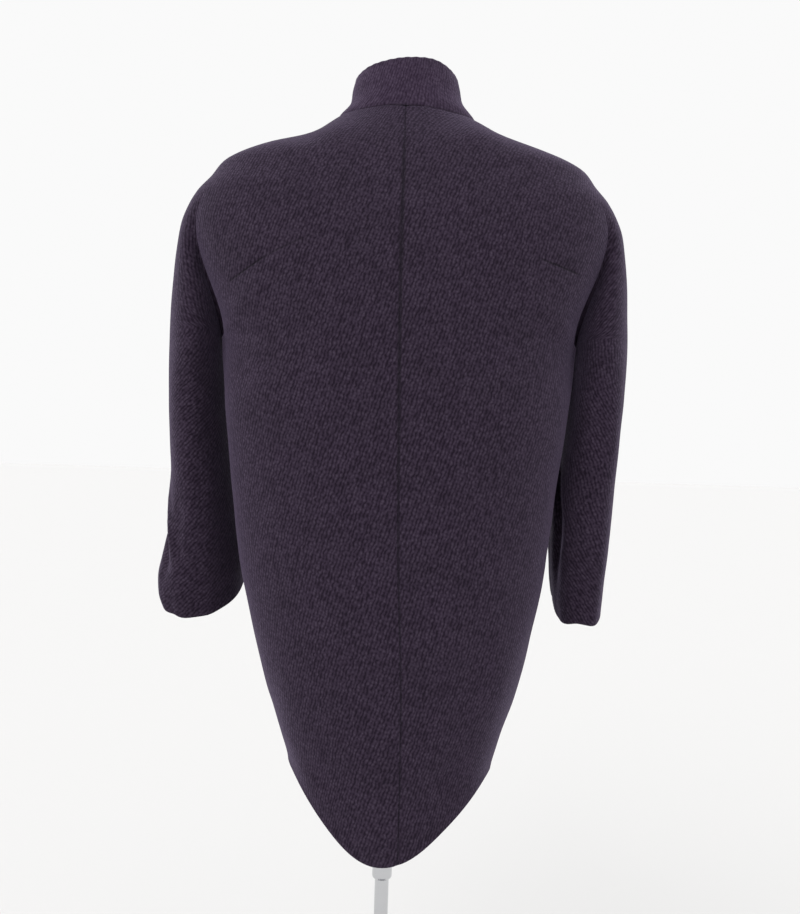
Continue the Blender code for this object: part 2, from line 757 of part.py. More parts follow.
def main():
    for obj in list(bpy.data.objects):
        bpy.data.objects.remove(obj)

    wool = add_material("wool twill", CLOTH_COLOUR, 0.92)
    jersey = add_material("form cover", FORM_COLOUR, 0.85)
    wood = add_material("cap wood", CAP_COLOUR, 0.5)
    chrome = add_material("chrome", CHROME_COLOUR, 0.12, 1.0)
    plate = add_material("base chrome", BASE_COLOUR, 0.18, 1.0)

    stand = add_empty("stand", 0)
    height_slide = add_empty("height_slide", RING_BOTTOM, stand)
    form_turn = add_empty("form_turn", RING_BOTTOM, height_slide)
    form_turn.location.z = 0
    coat = add_empty("coat", 0, form_turn)
    coat.location.z = -RING_BOTTOM
    bpy.context.view_layer.update()

    stand_base(plate, stand)
    lower_pole(chrome, stand)
    lock_ring(chrome, height_slide)
    upper_tube(chrome, form_turn)
    form_torso(jersey, form_turn)
    neck_cap(wood, form_turn)
    coat_panels(wool, coat)
    stand_collar(wool, coat)


main()
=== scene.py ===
import math

import bpy
import numpy as np
from mathutils import Matrix, Vector, noise


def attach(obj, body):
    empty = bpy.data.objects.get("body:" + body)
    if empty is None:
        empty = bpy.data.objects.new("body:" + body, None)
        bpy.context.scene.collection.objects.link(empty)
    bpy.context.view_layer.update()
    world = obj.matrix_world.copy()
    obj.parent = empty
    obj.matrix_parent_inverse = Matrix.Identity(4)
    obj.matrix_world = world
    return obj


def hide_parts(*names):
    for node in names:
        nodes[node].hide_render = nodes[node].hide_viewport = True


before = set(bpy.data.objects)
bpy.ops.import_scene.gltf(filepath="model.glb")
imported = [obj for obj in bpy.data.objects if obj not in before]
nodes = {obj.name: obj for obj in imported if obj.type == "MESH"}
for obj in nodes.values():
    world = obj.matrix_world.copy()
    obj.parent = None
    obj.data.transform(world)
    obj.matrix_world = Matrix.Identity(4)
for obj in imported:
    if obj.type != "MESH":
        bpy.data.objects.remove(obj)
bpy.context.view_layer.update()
coatNodes = ("back_left_with_sleeve", "back_right_with_sleeve", "front_left_with_sleeve", "front_right_with_sleeve")
print("frame loaded:", len(nodes), "nodes")


# small helpers for curves and shapes

def table(columns, *rows):
    return dict(zip(columns.split(), np.array(rows, float).T))


def smoothCurve(knots, values):  # monotone cubic, no overshoot
    step = np.diff(knots)
    rise = np.diff(values) / step
    slope = np.concatenate([rise[:1], np.zeros(len(rise) - 1), rise[-1:]])
    for i in range(1, len(rise)):
        before, after = rise[i - 1], rise[i]
        if before * after > 0:
            near, far = 2 * step[i] + step[i - 1], step[i] + 2 * step[i - 1]
            slope[i] = (near + far) / (near / before + far / after)

    def at(place):
        i = np.clip(np.searchsorted(knots, place) - 1, 0, len(step) - 1)
        t = (place - knots[i]) / step[i]
        return (values[i] * (1 + 2 * t) * (1 - t) ** 2 + values[i + 1] * t * t * (3 - 2 * t)
                + step[i] * (slope[i] * t * (1 - t) ** 2 - slope[i + 1] * t * t * (1 - t)))

    return at


def curves(rows):
    return {name: smoothCurve(rows["z"], rows[name]) for name in rows if name != "z"}


def lerp(a, b, t):
    return a + (b - a) * t


def smoothstep(start, end, value):
    t = np.clip((value - start) / (end - start), 0, 1)
    return t * t * (3 - 2 * t)


def hill(t):  # 1 at the middle, soft on both sides
    return np.exp(-t * t)


def unit(vectors):
    return vectors / np.maximum(np.linalg.norm(vectors, axis=1, keepdims=True), 1e-12)


def numbered(grid, first=0):  # the running number of each point of a grid
    return first + np.arange(grid.shape[0] * grid.shape[1]).reshape(grid.shape[:2])


def roundedOval(angle, halfWidth, depth, roundness):
    c, s, power = np.cos(angle), np.sin(angle), 2 / roundness
    return np.copysign(np.abs(c) ** power, c) * halfWidth, np.abs(s) ** power * depth


def ovalAngle(x, halfWidth, roundness):
    return np.arccos(np.copysign((np.abs(x) / halfWidth) ** (roundness / 2), x))


# the coat, from the same sections as its solids, with finer folds and sewing

coat = {
    "wall": 0.0030, "seamOpen": 0.0003, "rimAngles": (45, 90, 135), "weldDigits": 5,
    "foldTop": 1.292, "underarm": 1.100,
    "hemSide": 0.538, "hemDrop": 0.112, "hemFrontRise": 0.012, "hemTurn": math.radians(-2.5),
    "lean": -0.005, "leanTop": 0.85, "leanLow": 0.62,
    "backSeamDrift": -0.015, "sideSeamBack": 0.025, "sideSeamSwing": 0.10,
    "frontRoundness": 2.1, "armRoundness": 2.0,
    "sleeveRoundness": {+1: 2.0, -1: 3.0}, "cuffRoundness": {+1: 2.3, -1: 2.8},
    "cuffShaping": 0.12, "cuffSlant": {+1: -0.06, -1: 0.09}, "cuffCorner": {+1: 0.0, -1: 0.016},
    "neckHalfWidth": 0.083, "neckBack": 0.070, "neckFront": 0.078, "neckHalvings": 40,
    "lap": 0.030, "lapLift": 0.0050, "lapStart": 0.115, "lapEnd": 0.060,
    "foldAngle": math.radians(26), "underarmWidth": 0.006, "armholeCurve": 0.7,
    "bodyColumns": 84, "lapColumns": 8, "sleeveColumns": 44,
    "shoulderRows": 52, "armholeRows": 44, "bodyRows": 140, "sleeveRows": 90,
    "columnGather": 0.6, "rowGather": 0.5,               # how far points crowd towards the seams
    "easeRows": 15, "easePasses": 240, "easeShare": (0.03, 0.30),
    # the cloth sinks along the seams by seamDip over seamWidth; the last width is that of the painted shade along the
    # seams and the neck
    "seamDip": 0.0012, "seamWidth": 0.0035, "seamShadeWidth": 0.0009,
    # fades: where a fold or crease starts to show, and where it is full
    "foldStart": (-0.1, 0.3), "foldEnd": (1.5, 1.0), "foldSide": (1.0, 0.80), "foldMiddle": (0.0, 0.15),
    "creaseStart": (-0.02, 0.25), "creaseEnd": (1.02, 0.7), "creaseDepth": -0.03,
    "sleeveCreaseTop": (0.03, -0.02), "sleeveCreaseLow": (-0.05, 0.01), "sleeveCreaseSeam": (0, 0.35),
    "shoulderShape": ((0.132, 0.034, -0.0042), (0.092, 0.018, 0.0020), (-0.098, 0.026, 0.0035)),
    "shoulderHeight": (1.335, 1.365),
    # the side swells a little below the underarm
    "sideFill": 0.0042, "sideFillHeight": 1.085, "sideFillReach": 0.045,
    "sideFillAway": 0.022, "sideFillWidth": 0.014, "sideFillClear": 0.006,
    # slow unevenness of the hanging cloth: height, two sizes, share of the smaller one, and where it fades out
    "waver": 0.0014, "waverSizes": (0.11, 0.045), "waverFine": 0.45, "waverTop": (1.40, 1.30),
    # how far the weave turns on the sleeves, in degrees, the height where it is fully turned, and its pivot
    "sleeveGrain": {+1: 28, -1: -45}, "grainTurned": 0.95, "grainPivot": -0.10,
    "cut": {+1: (0.62, 0.98), -1: (0.62, 0.86)}, "cutArea": {+1: 0.37, -1: 0.36},
}
bodyRings = table(
    "z      halfWidth  back    front   roundness",
    (0.400, 0.1300, 0.1290, 0.1230, 2.10),
    (0.480, 0.1320, 0.1390, 0.1290, 2.10),
    (0.538, 0.1350, 0.1460, 0.1340, 2.10),
    (0.574, 0.1450, 0.1500, 0.1375, 2.15),
    (0.633, 0.1660, 0.1555, 0.1430, 2.20),
    (0.678, 0.1780, 0.1600, 0.1465, 2.20),
    (0.722, 0.1870, 0.1630, 0.1495, 2.25),
    (0.811, 0.2045, 0.1670, 0.1535, 2.30),
    (0.954, 0.2225, 0.1670, 0.1560, 2.35),
    (1.032, 0.2310, 0.1645, 0.1575, 2.35),
    (1.100, 0.2355, 0.1600, 0.1570, 2.35),
    (1.176, 0.2410, 0.1525, 0.1490, 2.40),
    (1.250, 0.2490, 0.1405, 0.1290, 2.45),
    (1.292, 0.2550, 0.1285, 0.1120, 2.45),
    (1.330, 0.2600, 0.1140, 0.0920, 2.40),
    (1.355, 0.2600, 0.1020, 0.0780, 2.30),
    (1.380, 0.2600, 0.0870, 0.0640, 2.15),
    (1.406, 0.2600, 0.0700, 0.0510, 2.00),
    (1.430, 0.2600, 0.0520, 0.0400, 2.00),
)
overarmSeam = table(
    "z      x       y",
    (1.100, 0.3150, -0.0200),
    (1.178, 0.3125, -0.0170),
    (1.219, 0.3080, -0.0150),
    (1.251, 0.3020, -0.0130),
    (1.272, 0.2940, -0.0120),
    (1.295, 0.2820, -0.0100),
    (1.316, 0.2640, -0.0090),
    (1.337, 0.2480, -0.0070),
    (1.346, 0.2330, -0.0060),
    (1.357, 0.2060, -0.0050),
    (1.370, 0.1680, -0.0030),
    (1.383, 0.1290, -0.0020),
    (1.404, 0.0890, 0.0000),
    (1.430, 0.0600, 0.0000),
)
sleeveRings = {
    +1: table(
        "z      xOut    yOut     xIn     yIn      back    front   tilt  flare",
        (0.755, 0.3090, 0.0000, 0.2070, -0.0480, 0.0640, 0.0600, 0.50, 0.014),
        (0.772, 0.3160, -0.0015, 0.2070, -0.0475, 0.0660, 0.0620, 0.48, 0.013),
        (0.790, 0.3175, -0.0030, 0.2070, -0.0470, 0.0680, 0.0640, 0.46, 0.011),
        (0.810, 0.3140, -0.0047, 0.2090, -0.0463, 0.0705, 0.0665, 0.44, 0.009),
        (0.830, 0.3100, -0.0063, 0.2115, -0.0457, 0.0730, 0.0690, 0.40, 0.006),
        (0.850, 0.3070, -0.0080, 0.2145, -0.0450, 0.0760, 0.0720, 0.36, 0.003),
        (0.910, 0.3055, -0.0130, 0.2220, -0.0430, 0.0800, 0.0780, 0.27, 0.000),
        (0.980, 0.3105, -0.0180, 0.2305, -0.0400, 0.0830, 0.0840, 0.15, 0.000),
        (1.040, 0.3140, -0.0200, 0.2360, -0.0300, 0.0850, 0.0880, 0.06, 0.000),
        (1.100, 0.3150, -0.0200, 0.2415, 0.0000, 0.0850, 0.0900, 0.00, 0.000),
    ),
    -1: table(
        "z      xOut    yOut     xIn     yIn      back    front   tilt  flare",
        (0.764, 0.2905, -0.0400, 0.2270, -0.0480, 0.0740, 0.0720, 0.50, 0.000),
        (0.790, 0.2915, -0.0380, 0.2235, -0.0470, 0.0780, 0.0740, 0.46, 0.000),
        (0.850, 0.2950, -0.0340, 0.2195, -0.0450, 0.0870, 0.0780, 0.36, 0.000),
        (0.910, 0.2985, -0.0300, 0.2220, -0.0430, 0.0920, 0.0820, 0.26, 0.000),
        (0.980, 0.3035, -0.0250, 0.2305, -0.0400, 0.0950, 0.0860, 0.15, 0.000),
        (1.040, 0.3095, -0.0220, 0.2360, -0.0300, 0.0920, 0.0880, 0.06, 0.000),
        (1.100, 0.3150, -0.0200, 0.2415, 0.0000, 0.0850, 0.0900, 0.00, 0.000),
    ),
}
# big folds, as in the solids: side, facing, place and height of the start and of the end, half width, rise
# (the place is x on the body and an angle on the sleeves)
bodyFolds = (
    (-1, +1, 0.150, 0.770, 0.098, 0.500, 0.026, 0.0060),
    (+1, +1, 0.140, 0.700, 0.100, 0.520, 0.024, 0.0035),
    (+1, -1, 0.120, 0.980, 0.080, 0.600, 0.030, 0.0050),
    (-1, -1, 0.140, 0.900, 0.090, 0.580, 0.028, 0.0050),
)
sleeveFolds = (
    (+1, +1, 60, 0.920, 52, 0.760, 14, -0.0050),
    (+1, -1, 120, 1.000, 110, 0.800, 16, -0.0060),
    (-1, -1, 60, 0.980, 70, 0.800, 16, -0.0060),
)
# soft creases laid on the finished surface: facing, points (x, z), width, height (below 0 is a trough)
creases = (
    (+1, ((0.2215, 1.1635), (0.1640, 1.1980)), 0.0050, -0.0022),         # left dart
    (+1, ((-0.2330, 1.1870), (-0.1740, 1.2020)), 0.0050, -0.0022),       # right dart
    (+1, ((0.236, 1.090), (0.205, 1.135), (0.160, 1.165)), 0.012, 0.0022),
    (+1, ((-0.238, 1.085), (-0.205, 1.130), (-0.150, 1.150)), 0.013, 0.0022),
    (+1, ((0.222, 0.980), (0.175, 1.030), (0.120, 1.050)), 0.018, 0.0018),
    (+1, ((-0.220, 0.960), (-0.180, 0.990), (-0.120, 1.000)), 0.018, 0.0016),
    (+1, ((-0.205, 0.820), (-0.170, 0.700), (-0.130, 0.600)), 0.020, 0.0022),
    (+1, ((0.150, 0.620), (0.095, 0.530), (0.050, 0.480)), 0.014, 0.0022),
    (+1, ((0.030, 1.240), (0.060, 1.100), (0.070, 0.940)), 0.040, 0.0014),
    (+1, ((-0.050, 1.220), (-0.085, 1.060), (-0.080, 0.900)), 0.040, 0.0014),
    (-1, ((0.225, 1.080), (0.170, 1.120), (0.110, 1.170)), 0.016, 0.0030),
    (-1, ((-0.225, 1.080), (-0.170, 1.125), (-0.110, 1.180)), 0.016, 0.0030),
    (-1, ((0.205, 0.960), (0.150, 1.010), (0.100, 1.030)), 0.020, 0.0022),
    (-1, ((-0.205, 0.940), (-0.150, 0.980), (-0.090, 0.990)), 0.020, 0.0022),
)
# the same on the hanging sleeves: side, facing, points (angle round the sleeve, z), half width in degrees, height
sleeveCreases = (  # the first two are the recess beside the body and its lip
    (-1, +1, ((170, 0.938), (161, 0.910), (149, 0.886), (145, 0.862), (150, 0.842)), 12, -0.0160),
    (-1, +1, ((158, 0.940), (145, 0.910), (129, 0.886), (125, 0.862), (131, 0.842)), 7, 0.0035),
    (-1, +1, ((152, 0.840), (150, 0.805), (148, 0.765)), 6, -0.0014),
    (-1, +1, ((70, 1.060), (90, 1.010), (120, 0.990)), 12, -0.0022),
    (-1, +1, ((60, 0.870), (66, 0.800), (70, 0.740)), 16, 0.0020),
    (+1, +1, ((70, 1.050), (95, 1.000), (125, 0.985)), 12, -0.0022),
    (+1, +1, ((120, 0.930), (110, 0.850), (104, 0.760)), 11, 0.0030),
    (+1, +1, ((16, 0.905), (25, 0.874), (40, 0.846), (56, 0.822)), 7, 0.0042),
    (+1, +1, ((3, 0.900), (9, 0.870), (20, 0.842), (34, 0.815)), 9, -0.0075),
    (+1, -1, ((60, 1.050), (90, 0.990), (120, 0.970)), 12, -0.0030),
    (-1, -1, ((60, 1.050), (90, 0.990), (120, 0.970)), 12, -0.0030),
    (+1, -1, ((70, 0.900), (64, 0.830), (60, 0.760)), 10, 0.0030),
    (-1, -1, ((110, 0.900), (104, 0.830), (100, 0.760)), 10, 0.0030),
)
bodyAt, overarmAt = curves(bodyRings), curves(overarmSeam)
sleeveAt = {side: curves(rows) for side, rows in sleeveRings.items()}


def backSeamX(z):
    return coat["backSeamDrift"] * smoothstep(coat["foldTop"], coat["hemSide"] - coat["hemDrop"], z)


def sideSeamY(z):
    return coat["sideSeamBack"] * smoothstep(coat["underarm"], coat["underarm"] - coat["sideSeamSwing"], z)


def ringRoundness(facing, z):
    return bodyAt["roundness"](z) if facing > 0 else np.minimum(coat["frontRoundness"], bodyAt["roundness"](z))


def panelAngle(side, facing, z, share, end, halfWidth, roundness):
    middle = side * backSeamX(z) if facing > 0 else 0 * z
    angle = lerp(ovalAngle(middle, halfWidth, roundness), end, share)
    return np.where(share < 0, ovalAngle(np.minimum(share, 0) * coat["lap"], halfWidth, roundness), angle)


def domePoint(side, facing, z, share, onSleeve):
    halfWidth, seam = overarmAt["x"](z), overarmAt["y"](z)
    depth = bodyAt["back"](z) - seam if facing > 0 else bodyAt["front"](z) + seam
    roundness = ringRoundness(facing, z)
    if onSleeve:
        angle = lerp(coat["foldAngle"], 0, share)
    else:
        angle = panelAngle(side, facing, z, share, coat["foldAngle"], halfWidth, roundness)
    x, y = roundedOval(angle, halfWidth, depth, roundness)
    return x, seam + facing * y


def bodyPoint(side, facing, z, share):
    halfWidth, seam = bodyAt["halfWidth"](z), sideSeamY(z)
    depth = bodyAt["back"](z) - seam if facing > 0 else bodyAt["front"](z) + seam
    roundness = ringRoundness(facing, z)
    angle = panelAngle(side, facing, z, share, 0, halfWidth, roundness)
    x, y = roundedOval(angle, halfWidth, depth, roundness)
    rise = 0
    for s, f, xTop, zTop, xLow, zLow, width, height in bodyFolds:
        if (s, f) == (side, facing):
            t = (zTop - z) / (zTop - zLow)
            away = (x - lerp(xTop, xLow, t)) / width
            ends = smoothstep(*coat["foldStart"], t) * smoothstep(*coat["foldEnd"], t)
            rise = rise + height * ends * hill(away)
    calm = smoothstep(*coat["foldSide"], share) * smoothstep(*coat["foldMiddle"], share)
    scale = 1 + rise * calm / np.hypot(x, y)
    lean = side * coat["lean"] * smoothstep(coat["leanTop"], coat["leanLow"], z)
    return x * scale + lean, seam + facing * y * scale


def sleeveOval(facing, angle, ring, roundness, fold=0.0):
    middle, half = (ring["xOut"] + ring["xIn"]) / 2, (ring["xOut"] - ring["xIn"]) / 2
    x, y = roundedOval(angle, half, ring["back"] if facing > 0 else ring["front"], roundness)
    reach = 1 + fold / np.hypot(x, y)
    flare = np.where(angle < math.pi / 2, ring["flare"] * np.sin(2 * angle) ** 2, 0) if facing < 0 else 0
    seam = lerp(ring["yOut"], ring["yIn"], (1 - x / half) / 2)
    return middle + x * reach + flare, seam + facing * y * reach


def sleeveFoldHeight(side, facing, angle, z):
    degrees, total = np.degrees(angle), 0
    for s, f, top, zTop, low, zLow, width, height in sleeveFolds:
        if (s, f) == (side, facing):
            t = (zTop - z) / (zTop - zLow)
            away = (degrees - lerp(top, low, t)) / width
            total = total + height * smoothstep(*coat["foldStart"], t) * hill(away)
    for s, f, points, width, height in sleeveCreases:
        if (s, f) == (side, facing):
            angles, heights = zip(*points)
            middle = np.interp(z, heights[::-1], angles[::-1])
            ends = smoothstep(*coat["sleeveCreaseTop"], z - heights[0])
            ends = ends * smoothstep(*coat["sleeveCreaseLow"], z - heights[-1])
            total = total + height * ends * hill((degrees - middle) / width)
    return total * smoothstep(*coat["sleeveCreaseSeam"], np.sin(angle))


def armholePoint(side, facing, z, share, onSleeve):
    domeX, domeY = domePoint(side, facing, z, share, onSleeve)
    down = np.minimum((coat["foldTop"] - z) / (coat["foldTop"] - coat["underarm"]), 1)
    if onSleeve:
        ring = {name: at(coat["underarm"]) for name, at in sleeveAt[side].items()}
        ring["xOut"], ring["yOut"] = overarmAt["x"](z), overarmAt["y"](z)
        ring["xIn"] = bodyAt["halfWidth"](z) + coat["underarmWidth"]
        x, y = sleeveOval(facing, lerp(math.pi, 0, share), ring, coat["armRoundness"])
    else:
        x, y = bodyPoint(side, facing, z, share)
    return lerp(domeX, x, smoothstep(0, 1, down)), lerp(domeY, y, 1 - (1 - down) ** coat["armholeCurve"])


def neckHeight(side, facing, share, onSleeve, wider=0.0):  # where a column of the dome meets the neck opening
    depth = coat["neckBack"] if facing > 0 else coat["neckFront"]
    low, high = np.full(share.shape, coat["foldTop"]), np.full(share.shape, bodyRings["z"][-1])
    for _ in range(coat["neckHalvings"]):
        z = (low + high) / 2
        x, y = domePoint(side, facing, z, share, onSleeve)
        outside = np.hypot(x / (coat["neckHalfWidth"] + wider), y / depth) > 1
        low, high = np.where(outside, z, low), np.where(outside, high, z)
    return low


def hemHeight(side, facing, share):
    z = np.full(share.shape, coat["hemSide"] - coat["hemDrop"])
    angle = panelAngle(side, facing, z, np.maximum(share, 0), 0, bodyAt["halfWidth"](coat["hemSide"]), 2)
    if facing > 0:
        return coat["hemSide"] - coat["hemDrop"] * np.sin(angle - side * coat["hemTurn"] * (1 - share)) ** 3
    return coat["hemSide"] + coat["hemFrontRise"] * np.sin(angle) ** 2


def sleevePoint(side, facing, z, share):
    ring = {name: at(z) for name, at in sleeveAt[side].items()}
    angle, cuff = lerp(math.pi, 0, share), sleeveRings[side]["z"][0]
    nearCuff = smoothstep(cuff + coat["cuffShaping"], cuff, z)
    belowArm = smoothstep(coat["underarm"], coat["underarm"] - coat["cuffShaping"], z)
    roundness = lerp(coat["armRoundness"], coat["sleeveRoundness"][side], belowArm)
    roundness = lerp(roundness, coat["cuffRoundness"][side], nearCuff)
    x, y = sleeveOval(facing, angle, ring, roundness, sleeveFoldHeight(side, facing, angle, z))
    slant = coat["cuffSlant"][side] * (x - (ring["xOut"] + ring["xIn"]) / 2)
    corner = coat["cuffCorner"][side] * smoothstep(0, -1, np.cos(angle))
    tilt = ring["tilt"] * (y - (ring["yOut"] + ring["yIn"]) / 2)
    return x, y, z - tilt - (slant + corner) * nearCuff


def shoulderRise(x, z):  # the shoulders aren't quite alike beside the collar
    total = sum(height * hill((x - at) / width) for at, width, height in coat["shoulderShape"])
    return total * smoothstep(*coat["shoulderHeight"], z)


def spread(count, gather=coat["columnGather"]):  # even shares that crowd towards both ends, where the seams are
    t = np.linspace(0, 1, count + 1)
    return t - gather * np.sin(2 * math.pi * t) / (2 * math.pi)


def stepLengths(grid, axis):  # length along the rows or down the columns of a grid of points
    step = np.linalg.norm(np.diff(grid, axis=axis), axis=-1)
    start = np.zeros_like(np.take(step, [0], axis=axis))
    return np.concatenate([start, np.cumsum(step, axis=axis)], axis=axis)


def easedSleeve(grid, share):  # runs the sleeve's surface smoothly past the underarm, away from the underarm seam
    row = np.arange(grid.shape[0])[1:-1, None, None] - coat["shoulderRows"] - coat["armholeRows"]
    weight = 0.5 * hill(row / coat["easeRows"]) * smoothstep(*coat["easeShare"], share)[None, :, None]
    for _ in range(coat["easePasses"]):
        grid[1:-1] = lerp(grid[1:-1], (grid[:-2] + grid[2:]) / 2, weight)
    return grid


def panelPoints(side, facing):  # two grids of points: the body with its lap, and the half sleeve
    bodyShare, sleeveShare = spread(coat["bodyColumns"]), spread(coat["sleeveColumns"])
    if facing < 0:
        bodyShare = np.concatenate([np.linspace(-1, 0, coat["lapColumns"] + 1)[:-1], bodyShare])
    grids = []
    for share, onSleeve in ((bodyShare, False), (sleeveShare, True)):
        neck, rows = neckHeight(side, facing, share, onSleeve), []
        for t in spread(coat["shoulderRows"]):
            z = lerp(neck, coat["foldTop"], t)
            rows.append((*domePoint(side, facing, z, share, onSleeve), z))
        for t in np.linspace(0, 1, coat["armholeRows"] + 1)[1:]:
            z = np.full(share.shape, lerp(coat["foldTop"], coat["underarm"], t))
            rows.append((*armholePoint(side, facing, z, share, onSleeve), z))
        if onSleeve:
            for t in spread(coat["sleeveRows"], coat["rowGather"])[1:]:
                z = np.full(share.shape, lerp(coat["underarm"], sleeveRings[side]["z"][0], t))
                rows.append(sleevePoint(side, facing, z, share))
        else:
            hem = hemHeight(side, facing, share)
            for t in spread(coat["bodyRows"], coat["rowGather"])[1:]:
                z = lerp(coat["underarm"], hem, t)
                rows.append((*bodyPoint(side, facing, z, share), z))
        grid = np.array(rows).transpose(0, 2, 1) * (side, 1, 1)
        grids.append(easedSleeve(grid, share) if onSleeve else grid)
    return grids


def panelSheet(side, facing):  # one open sheet: points, faces, edge in order, grain and distance from the seams
    body, sleeve = panelPoints(side, facing)
    top, low = coat["shoulderRows"], coat["shoulderRows"] + coat["armholeRows"]
    bodyIndex = numbered(body)
    sleeveIndex = numbered(sleeve, bodyIndex.size)
    sleeveIndex[: top + 1, 0] = bodyIndex[: top + 1, -1]             # above the fold both are one surface
    faces = []
    for index in (bodyIndex, sleeveIndex):
        faces.append(np.stack([index[:-1, :-1], index[1:, :-1], index[1:, 1:], index[:-1, 1:]], -1).reshape(-1, 4))
    bridge = np.stack([bodyIndex[top:low, -1], bodyIndex[top + 1:low + 1, -1],
                       sleeveIndex[top + 1:low + 1, 0], sleeveIndex[top:low, 0]], -1)
    faces = np.concatenate([*faces, bridge])
    if side * facing > 0:
        faces = faces[:, ::-1]

    seam, free = 0.0, 1.0
    edge = [(bodyIndex[0], seam), (sleeveIndex[0, 1:], seam), (sleeveIndex[1:, -1], seam),
            (sleeveIndex[-1, ::-1][1:], free), (sleeveIndex[low:-1, 0][::-1], seam), (bodyIndex[low:, -1], seam),
            (bodyIndex[-1, ::-1][1:], free), (bodyIndex[1:-1, 0][::-1], seam if facing > 0 else free)]
    loop = np.concatenate([index for index, _ in edge])
    loose = np.concatenate([np.full(len(index), state) for index, state in edge])
    loose = np.minimum(loose, np.minimum(np.roll(loose, 1), np.roll(loose, -1)))

    lapColumns = coat["lapColumns"] if facing < 0 else 0
    across = [stepLengths(grid, 1) for grid in (body, sleeve)]
    across[0] = across[0] - across[0][:, [lapColumns]]
    down = [stepLengths(grid, 0) for grid in (body, sleeve)]
    fromSeam = [np.full(grid.shape[:2], 1.0) for grid in (body, sleeve)]
    if facing > 0:
        fromSeam[0] = np.minimum(fromSeam[0], across[0])             # back seam
    fromSide = [np.full(grid.shape[:2], 1.0) for grid in (body, sleeve)]
    fromSide[0][low:] = across[0][low:, [-1]] - across[0][low:]
    fromSeam[0] = np.minimum(fromSeam[0], fromSide[0])               # side seam
    fromSeam[1] = np.minimum(fromSeam[1], across[1][:, [-1]] - across[1])   # shoulder and overarm seam
    fromSeam[1][low:] = np.minimum(fromSeam[1][low:], across[1][low:])      # underarm seam
    fromSeam, fromSide, fromNeck = [np.concatenate([part.reshape(-1) for part in parts])
                                    for parts in (fromSeam, fromSide, down)]
    # weight of the painted shade in the seam grooves, along the seams and the neck edge; the finish also sinks its
    # bump there
    sewn = np.maximum(hill(fromSeam / coat["seamShadeWidth"]), hill(fromNeck / coat["seamShadeWidth"]))

    # the thread runs across the rows and down from the fold, and turns on the sleeves
    grainU = [across[0], across[1] + across[0][np.minimum(np.arange(sleeve.shape[0]), low), -1][:, None]]
    grainV = [down[i][[top]] - down[i] for i in (0, 1)]
    turned = smoothstep(coat["foldTop"], coat["grainTurned"], sleeve[..., 2])
    turn = np.radians(coat["sleeveGrain"][side]) * turned
    middleU, middleV = grainU[1][low, coat["sleeveColumns"] // 2], coat["grainPivot"]
    awayU, awayV = (grainU[1] - middleU) * -side * facing, grainV[1] - middleV
    turnedU = awayU * np.cos(turn) - awayV * np.sin(turn) + middleU * -side * facing
    turnedV = awayU * np.sin(turn) + awayV * np.cos(turn) + middleV
    grain = np.concatenate([np.stack([grainU[0] * -side * facing, grainV[0]], -1).reshape(-1, 2),
                            np.stack([turnedU, turnedV], -1).reshape(-1, 2)])
    points = np.concatenate([body.reshape(-1, 3), sleeve.reshape(-1, 3)])
    return {"points": points, "faces": faces, "loop": loop, "loose": loose, "grain": grain,
            "fromSeam": fromSeam, "sewn": sewn, "fromSide": fromSide, "side": side, "facing": facing}


def sharedNormals(sheets):  # smooth normals over all the panels, so that both sides of a seam agree
    points = np.concatenate([sheet["points"] for sheet in sheets])
    total, first = np.zeros_like(points), 0
    for sheet in sheets:
        corner = sheet["points"][sheet["faces"]]
        flat = np.cross(corner[:, 2] - corner[:, 0], corner[:, 3] - corner[:, 1])
        for k in range(4):
            for axis in range(3):
                total[first:first + len(sheet["points"]), axis] += np.bincount(
                    sheet["faces"][:, k], flat[:, axis], len(sheet["points"]))
        first += len(sheet["points"])
    if "weld" not in sheets[0]:
        _, weld = np.unique(np.round(points, coat["weldDigits"]), axis=0, return_inverse=True)
        sheets[0]["weld"] = weld.reshape(-1)
    weld = sheets[0]["weld"]
    welded = unit(np.stack([np.bincount(weld, total[:, axis]) for axis in range(3)], -1)[weld])
    return np.split(welded, np.cumsum([len(sheet["points"]) for sheet in sheets])[:-1])


def creaseHeight(points, facing):  # soft troughs and ridges along listed lines, seen from the back or the front
    total = np.zeros(len(points))
    flat = points[:, [0, 2]]
    for face, line, width, height in creases:
        if face != facing:
            continue
        line = np.array(line)
        lengths = np.linalg.norm(np.diff(line, axis=0), axis=1)
        nearest, along, passed = np.full(len(points), np.inf), np.zeros(len(points)), 0.0
        for start, end, length in zip(line, line[1:], lengths):
            t = np.clip(((flat - start) @ (end - start)) / length ** 2, 0, 1)
            away = np.linalg.norm(flat - start - t[:, None] * (end - start), axis=1)
            closer = away < nearest
            nearest, along = np.where(closer, away, nearest), np.where(closer, passed + t * length, along)
            passed += length
        ends = smoothstep(*coat["creaseStart"], along / passed) * smoothstep(*coat["creaseEnd"], along / passed)
        total += height * ends * hill(nearest / width)
    return total * (points[:, 1] * facing > coat["creaseDepth"])


def slowNoise(points, size, seed):
    offset = Vector((seed * 3.7, seed * 1.3, seed * 5.1))
    return np.array([noise.noise(Vector(point) / size + offset) for point in points])


def newPiece(name, points, faces, finish, body="form", grain=None, sewn=None, sharp=50):
    mesh = bpy.data.meshes.new(name)
    mesh.from_pydata(np.asarray(points).tolist(), [], [list(dict.fromkeys(face)) for face in faces])
    if grain is not None:
        corners = np.empty(len(mesh.loops), np.int32)
        mesh.loops.foreach_get("vertex_index", corners)
        weave = mesh.uv_layers.new(name="clothGrain")
        weave.data.foreach_set("uv", np.asarray(grain)[corners].astype(np.float32).ravel())
    # the per point weight of the painted seam shade, read by the wool finish
    if sewn is not None:
        seamShadeLayer = mesh.attributes.new("sewn", "FLOAT", "POINT")
        seamShadeLayer.data.foreach_set("value", np.asarray(sewn).astype(np.float32))
    mesh.validate()
    mesh.shade_smooth()
    mesh.set_sharp_from_angle(angle=math.radians(sharp))
    mesh.materials.append(finish)
    piece = bpy.data.objects.new(name, mesh)
    bpy.context.scene.collection.objects.link(piece)
    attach(piece, body)
    return piece


